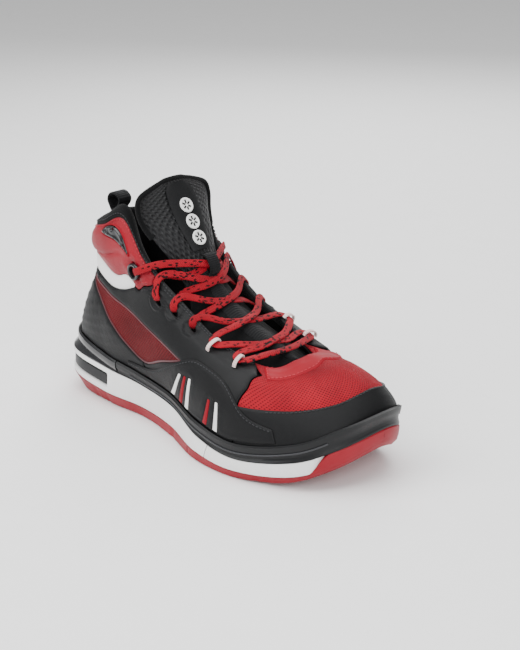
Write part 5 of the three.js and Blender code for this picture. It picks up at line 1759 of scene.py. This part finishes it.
    @staticmethod
    def ribbon(path: Array, want: Array) -> bpy.types.Object:
        """Weave the flat lace along its route.

        Args:
            path: points of the route.
            want: face direction at each of them.

        Returns:
            The new object.
        """
        dense = smooth_line(path, 760)
        held = np.array([SKIN.point(on_side(u, side), v)[0]
                         for side in (Side.LATERAL, Side.MEDIAL)
                         for u, v in (*HOLES, *LOOPS, GROMMET)])
        far = np.linalg.norm(dense[:, None] - held[None], axis=2).min(axis=1)
        slack = (0.06 + 0.44 * smoothstep(5, 11, far))[1:-1, None]
        for _ in range(70):
            dense[1:-1] += slack * ((dense[:-2] + dense[2:]) / 2 - dense[1:-1])
        run = run_along(dense)
        at, last = [], 0
        for p in path:
            window = dense[last:last + 60]
            last += int(np.argmin(np.linalg.norm(window - p, axis=1)))
            at.append(run[last])
        tangent = unit(np.gradient(dense, axis=0))
        count = len(path)
        face, faces, before = None, [], None
        for k, t in enumerate(tangent):
            w = want[int(np.clip(round(np.interp(run[k], at, np.arange(count))), 0,
                                 count - 1))].copy()
            if face is None:
                face = w
            else:
                q = Vector(before).rotation_difference(Vector(t))
                face = np.array(q @ Vector(face))
                w -= t * (w @ t)
                if np.linalg.norm(w) > 0.2:
                    w = unit(w)
                    face = face + w * (0.22 if w @ face >= 0 else -0.22)
            before = t
            face = unit(face - t * (face @ t))
            faces.append(face)
        faces = np.array(faces)
        for _ in range(2):
            faces[1:-1] = unit(faces[:-2] + 2 * faces[1:-1] + faces[2:])
        faces = unit(faces - tangent * np.sum(faces * tangent, axis=1, keepdims=True))
        wide = np.cross(tangent, faces)
        shape = ((-1, 0.0), (-0.9, 0.62), (-0.6, 0.95), (0, 0.8), (0.6, 0.95), (0.9, 0.62),
                 (1, 0), (0.9, -0.62), (0.6, -0.95), (0, -0.8), (-0.6, -0.95),
                 (-0.9, -0.62))
        sections = np.array([[p + s * a * LACE_W / 2 + n * b * LACE_T / 2 for a, b in shape]
                             for p, s, n in zip(dense, wide, faces)])
        flat = np.stack([np.repeat(run * 0.001, len(shape)),
                         np.tile([a * LACE_W * 0.0005 for a, _ in shape], len(dense))],
                        axis=1)
        LOG.info("lace: %.0f mm along its route", run[-1])
        return lofted("lace_woven", sections, LACE_BRAID, "shoe", flat)


# ---- sole ---------------------------------------------------------------------
@dataclass
class Sole:
    """Outsole, midsole, cushion insert, heel clip and sidewall."""

    outsole_split: float = 4.75     # station where the two outsoles meet
    foam_split: float = 5.3         # station where the two midsoles meet
    clip_end: float = 2.35          # station where the heel clip meets the sidewall
    wrap_thick: float = 3.0         # rubber that climbs the toe
    outsole_thick: float = 4.6
    band_thick: float = 2.9

    def __post_init__(self) -> None:
        """Lay out the three rings of the sole."""
        self.tread = whole_ring(TREAD)
        self.rubber = whole_ring(RUBBER)
        self.rim = whole_ring(FOAM_RIM)

    @staticmethod
    def inward(ring: Array, u: Array) -> Array:
        """Find the way to the middle of the sole.

        Args:
            ring: a ring of the sole.
            u: stations.

        Returns:
            A level direction for each station.
        """
        d = on_ring(ring, u + 0.05) - on_ring(ring, u - 0.05)
        n = unit(np.stack([d[:, 1], -d[:, 0], np.zeros(len(d))], axis=1))
        p = on_ring(ring, u)
        turn = np.linalg.norm((p + 3 * n)[:, :2], axis=1) < np.linalg.norm(p[:, :2], axis=1)
        return np.where(turn[:, None], n, -n)

    @staticmethod
    def wrap(u: Array) -> Array:
        """Return how far the toe rubber has climbed the sidewall."""
        return smoothstep(7.35, 7.75, np.minimum(u, STATIONS - u))[:, None]

    @staticmethod
    def half_steps(start: float, end: float, fine: float = 0.06) -> Array:
        """Return the stations of a piece from the heel side to the toe side."""
        return np.linspace(start, end, int((end - start) / fine) + 2)

    def build(self) -> None:
        """Make every piece of the sole."""
        self.outsole()
        self.midsole()
        self.insert()
        self.band()

    def across(self, name: str, finish: Finish, start: float, end: float,
               section: Callable) -> bpy.types.Object:
        """Make a body that runs across the sole from one side to the other.

        Args:
            name: the piece's name.
            finish: its material.
            start: first station.
            end: last station.
            section: points of one side, from the bottom round the edge to the top, for an
                array of stations.

        Returns:
            The new object.
        """
        s = self.half_steps(start, end)
        if start == 0:
            s = np.concatenate([[0.004, 0.02], s[1:]])
        if end == HALF:
            s = np.concatenate([s[:-1], [HALF - 0.02, HALF - 0.004]])
        left, right = section(s), section(STATIONS - s)
        stack = np.concatenate([left, right[:, ::-1]], axis=1)
        k = stack.shape[1]
        flat = np.stack([np.repeat(s * PER_U * MM, k), np.tile(np.linspace(0, 0.12, k), len(s))],
                        axis=1)
        return lofted(name, stack, finish, "shoe", flat)

    def outsole(self) -> None:
        """Make both outsoles, with their moulded grooves and the toe wrap."""

        def section(u: Array) -> Array:
            """Lay out one side of the rubber.

            Args:
                u: stations.

            Returns:
                Points from the bottom round the edge to the top, for each station.
            """
            to_middle = self.inward(self.rubber, u)
            tread, rubber = on_ring(self.tread, u), on_ring(self.rubber, u)
            w = self.wrap(u)
            edge = rubber + (on_ring(self.rim, u) - rubber) * w
            round_u = np.minimum(u, STATIONS - u)
            cut = np.zeros(len(u))
            for at, wide, deep in ((1.7, 0.03, 1.1), (1.84, 0.03, 1.1), (1.98, 0.03, 1.1),
                                   (4.1, 0.05, 0.9), (6.45, 0.05, 1.6), (6.62, 0.05, 1.0)):
                cut += deep * np.exp(-((round_u - at) / wide) ** 2)
            cut = cut[:, None] * to_middle
            low = tread + (rubber - tread) * 0.3
            rows = [tread + to_middle * 30 + UP * 1.0, tread + to_middle * 26 + UP * 0.15,
                    tread + to_middle * 1.6, tread + (rubber - tread) * 0.05 + cut * 0.7,
                    low + cut, tread + (rubber - tread) * 0.65 + cut]
            for t in (0.0, 0.35, 0.7, 0.93):
                bulge = -0.5 * math.sin(math.pi * t) * w * to_middle
                rows.append(rubber + (edge - rubber) * t + bulge + cut * (1 - w))
            rows += [edge + to_middle * 0.7, edge + to_middle * (self.wrap_thick - 0.6),
                     edge + to_middle * self.wrap_thick - UP * 0.7,
                     rubber + to_middle * self.wrap_thick - UP * 0.6,
                     tread + to_middle * 3.4 + UP * self.outsole_thick]
            return np.stack(rows, axis=1)

        for name, a, b in (("outsole_rear", 0, self.outsole_split - SEAM_U),
                           ("outsole_forefoot", self.outsole_split + SEAM_U, HALF)):
            made = self.across(f"{name}_rubber", RED_RUBBER, a, b, section)
            made.data.materials.append(material_of(RED_TREAD))
            for p in made.data.polygons:
                if p.normal.z < -0.8:
                    p.material_index = 1
            stand_for(made, "red_rubber", name)

    def midsole(self) -> None:
        """Make both midsoles; the medial waist has raised triangular bars."""

        def section(u: Array) -> Array:
            """Lay out one side of the foam.

            Args:
                u: stations.

            Returns:
                Points from the bottom round the edge to the top, for each station.
            """
            to_middle = self.inward(self.rim, u)
            rubber, rim = on_ring(self.rubber, u), on_ring(self.rim, u)
            w = self.wrap(u)
            tuck = to_middle * (w * (self.wrap_thick + 0.5))
            round_u = np.minimum(u, STATIONS - u)
            slot = (1 - smoothstep(1.98, 2.1, round_u))[:, None]
            medial = (smoothstep(11.2, 11.6, u) * (1 - smoothstep(14.4, 14.8, u)))[:, None]
            rows = [on_ring(self.tread, u) + to_middle * 3.6 + UP * (self.outsole_thick + 0.4),
                    rubber + to_middle * 3.2 - UP * 0.3, rubber + to_middle * 2.6 + UP * 0.35,
                    rubber + to_middle * 0.35 + UP * 0.35 + tuck]
            height = np.maximum((rim - rubber)[:, 2:3], 1.0)
            for t in (0.04, 0.12, 0.22, 0.32, 0.42, 0.52, 0.62, 0.72, 0.82, 0.9, 0.96, 1.0):
                bulge = 0.35 * math.sin(math.pi * min(t * 1.1, 1))
                gap = np.clip(1 - np.abs((t - 0.52) * height) / 4.9, 0, 1)
                deep = smoothstep(0.0, 0.12, gap) * slot * 8.4
                lean = np.mod(u[:, None] * 3.2 + (t - 0.5) * 1.5, 1.0)
                bars = (medial * 0.9 * math.sin(math.pi * t)
                        * np.abs(np.abs(lean - 0.5) * 2 - 1))
                rows.append(rubber + (rim - rubber) * t - bulge * to_middle * (1 - w)
                            + to_middle * deep + to_middle * bars + tuck + UP * 0.05)
            rows += [rim + to_middle * 1.2 + UP * 0.25 + tuck, rim + to_middle * 7 + tuck]
            return np.stack(rows, axis=1)

        for name, finish, a, b in (
                ("midsole_rear", WHITE_EVA, 0, self.foam_split - SEAM_U),
                ("midsole_forefoot", PEBBLED_EVA, self.foam_split + SEAM_U, HALF)):
            made = self.across(f"{name}_foam", finish, a, b, section)
            stand_for(made, "white_foam", name)

    def insert(self) -> None:
        """Make the cushion insert round the heel."""
        u = self.half_steps(-2.05, 2.05, 0.03)
        mid = on_ring(self.rubber, u) * 0.48 + on_ring(self.rim, u) * 0.52
        to_middle = self.inward(self.rim, u)
        rows = [mid + to_middle * d + UP * h for d, h in (
            (9, 4.4), (1.6, 4.4), (0.95, 4.1), (0.8, 3.2), (0.9, 1.0), (0.8, -1.0),
            (0.8, -3.4), (0.95, -4.1), (1.6, -4.4), (9, -4.4))]
        made = lofted("cushion_insert", np.stack(rows, axis=1), GREY_RUBBER)
        stand_for(made, "grey_rubber", "heel_cushion_insert")

    def band(self) -> None:
        """Make the heel clip and the sidewall with its piped lines and toe lip; the piping tubes
        carry a painted highlight.
        """

        def section(u: Array, clip: bool) -> Array:
            """Lay out the sidewall.

            Args:
                u: stations.
                clip: the plain heel clip.

            Returns:
                A closed section for each station.
            """
            to_middle = self.inward(self.rim, u)
            lip = 2.6 * smoothstep(7.9, 8.5, u) * (1 - smoothstep(9.3 + 0.2, 9.9 + 0.2, u))
            foot = on_ring(self.rim, u) + to_middle * (0.2 + 0.2 * self.wrap(u))
            foot[:, 2] += GAP
            within = SKIN.offset(u, -0.88, np.full(len(u), GAP))
            within[:, 2] = np.maximum(within[:, 2], foot[:, 2] + 0.2)
            shoulder = SKIN.offset(u, -0.45, np.full(len(u), self.band_thick + 1.2))
            high = SKIN.offset(u, 0.02, self.band_thick + lip)
            crest = SKIN.offset(u, 0.07, GAP + 0.9 + lip)
            rows = [within, foot + to_middle * 0.9, foot]
            n = SKIN.normal(u, -0.4)
            for t in (0.12, 0.25, 0.4, 0.55, 0.7, 0.85, 1.0):
                groove = 0.0 if clip else 0.55 * math.exp(-((t - 0.62) / 0.1) ** 2)
                rise = 0.5 * math.sin(math.pi * t)
                rows.append(foot + (shoulder - foot) * t + n * (rise - groove))
            for t in (0.25, 0.5, 0.75, 0.93):
                piping = 0.0 if clip else 0.75 * math.exp(-((t - 0.62) / 0.14) ** 2) - 0.4 * (
                    math.exp(-((t - 0.3) / 0.08) ** 2))
                swell_out = 0.9 * math.sin(math.pi * t) if clip else piping
                rows.append(shoulder + (high - shoulder) * t + n * swell_out)
            rows += [high, (high + crest) / 2 + n * 0.15, crest,
                     SKIN.offset(u, -0.2, np.full(len(u), GAP) + lip),
                     SKIN.offset(u, -0.5, np.full(len(u), GAP))]
            return np.stack(rows, axis=1)

        u = self.half_steps(-self.clip_end + SEAM_U, self.clip_end - SEAM_U, 0.05)
        stand_for(lofted("heel_cup", section(u, True), GREY_TPU), "grey_tpu", "heel_clip")
        u = self.half_steps(self.clip_end + SEAM_U, STATIONS - self.clip_end - SEAM_U, 0.05)
        stack = section(u, False)
        k = stack.shape[1]
        flat = np.stack([np.repeat(u * PER_U * MM, k), np.tile(np.arange(k) * 0.001, len(u))],
                        axis=1)
        made = lofted("sidewall_rubber", stack, GREY_RUBBER, "shoe", flat)
        stand_for(made, "grey_rubber", "sidewall_band")
        # the piping tubes are painted a lighter grey than the sidewall: a painted highlight along
        # the raised bead
        for sign in (1, -1):
            line = np.linspace(self.clip_end + 0.4, 7.7, 240)
            w = line if sign > 0 else STATIONS - line
            shoulder = SKIN.offset(w, -0.45, np.full(len(w), self.band_thick + 1.2))
            high = SKIN.offset(w, 0.02, np.full(len(w), self.band_thick))
            path = shoulder * 0.6 + high * 0.4 + SKIN.normal(w, -0.3) * 0.55
            tube(f"sidewall_piping_{'lateral' if sign > 0 else 'medial'}", path, 0.62,
                 PIPING_HIGHLIGHT, "shoe")


# ---- carried pieces and studio ------------------------------------------------
CARRIED = {"heel_counter": FIBREBOARD, "toe_puff": FIBREBOARD, "strobel_board": FIBREBOARD,
           "shank_plate": GREY_TPU, "sockliner": LINING,
           "collar_foam": PADDING_FOAM}


def dress(nodes: dict) -> None:
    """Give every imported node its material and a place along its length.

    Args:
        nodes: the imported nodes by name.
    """
    for name, obj in nodes.items():
        finish = CARRIED.get(name, LINING)
        obj.data.materials.clear()
        obj.data.materials.append(material_of(finish))
        if not obj.data.uv_layers:
            layer = obj.data.uv_layers.new(name="along")
            count = len(obj.data.loops)
            index = np.zeros(count, int)
            obj.data.loops.foreach_get("vertex_index", index)
            co = np.array([v.co[:] for v in obj.data.vertices])
            layer.data.foreach_set("uv", co[index][:, :2].astype(np.float32).ravel())


@dataclass
class Studio:
    """The pale floor, the soft lights and the camera."""

    azimuth: float = 45.0
    elevation: float = 20.5
    distance: float = 1180.0

    def build(self) -> None:
        """Set up the studio."""
        self.floor()
        self.light("key", (-0.35, -0.75, 0.95), 0.9, 15.0)
        self.light("fill", (0.95, -0.5, 0.6), 0.9, 9.0)
        self.light("top", (0.05, 0.1, 1.2), 1.1, 13.0)
        self.light("back", (-0.6, 0.85, 0.75), 0.8, 8.0)
        world = bpy.data.worlds.new("studio_air")
        world.use_nodes = True
        back = world.node_tree.nodes["Background"]
        back.inputs["Color"].default_value = linear("ffffff")
        back.inputs["Strength"].default_value = 0.55
        bpy.context.scene.world = world
        self.camera()

    @staticmethod
    def floor() -> None:
        """Lay the pale floor."""
        mesh = bpy.data.meshes.new("floor")
        mesh.from_pydata([(-6, -6, -0.0004), (6, -6, -0.0004), (6, 6, -0.0004),
                          (-6, 6, -0.0004)], [], [(0, 1, 2, 3)])
        obj = bpy.data.objects.new("studio_floor", mesh)
        bpy.context.scene.collection.objects.link(obj)
        mesh.materials.append(material_of(FLOOR_PAINT))

    @staticmethod
    def light(name: str, where: tuple, size: float, power: float) -> None:
        """Hang a square soft light aimed at the shoe.

        Args:
            name: the light's name.
            where: its place in metres.
            size: of its side in metres.
            power: in watts.
        """
        data = bpy.data.lights.new(f"studio_{name}", "AREA")
        data.shape = "SQUARE"
        data.size = size
        data.energy = power
        obj = bpy.data.objects.new(f"studio_{name}", data)
        obj.location = where
        obj.rotation_mode = "QUATERNION"
        way = Vector((0, 0, 0.08)) - Vector(where)
        obj.rotation_quaternion = way.to_track_quat("-Z", "Y")
        bpy.context.scene.collection.objects.link(obj)

    def camera(self) -> None:
        """Place the camera at the viewing angle."""
        a, e = math.radians(self.azimuth), math.radians(self.elevation)
        back = np.array([math.sin(a) * math.cos(e), -math.cos(a) * math.cos(e), math.sin(e)])
        right = np.array([math.cos(a), math.sin(a), 0])
        up = np.cross(back, right)
        place = (np.array([0, 0, 80.0]) - ORIGIN + back * self.distance + right * 31
                 - up * 2.5)
        data = bpy.data.cameras.new("studio_camera")
        data.sensor_width = 36.0
        data.lens = 88.6
        data.clip_start, data.clip_end = 0.05, 40.0
        obj = bpy.data.objects.new("studio_camera", data)
        obj.location = place * 0.001
        obj.rotation_mode = "QUATERNION"
        obj.rotation_quaternion = Vector(-back).to_track_quat("-Z", "Y")
        bpy.context.scene.collection.objects.link(obj)
        bpy.context.scene.camera = obj


def main() -> None:
    """Build the shoe piece by piece, then the studio."""
    logging.basicConfig(level=logging.INFO, format="%(message)s")
    dress(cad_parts)
    LOG.info("sole")
    Sole().build()
    LOG.info("upper")
    Upper().build()
    LOG.info("tongue")
    tongue = Tongue()
    tongue.build()
    LOG.info("laces")
    Laces(tongue).build()
    LOG.info("studio")
    Studio().build()


if __name__ == "__main__":
    main()
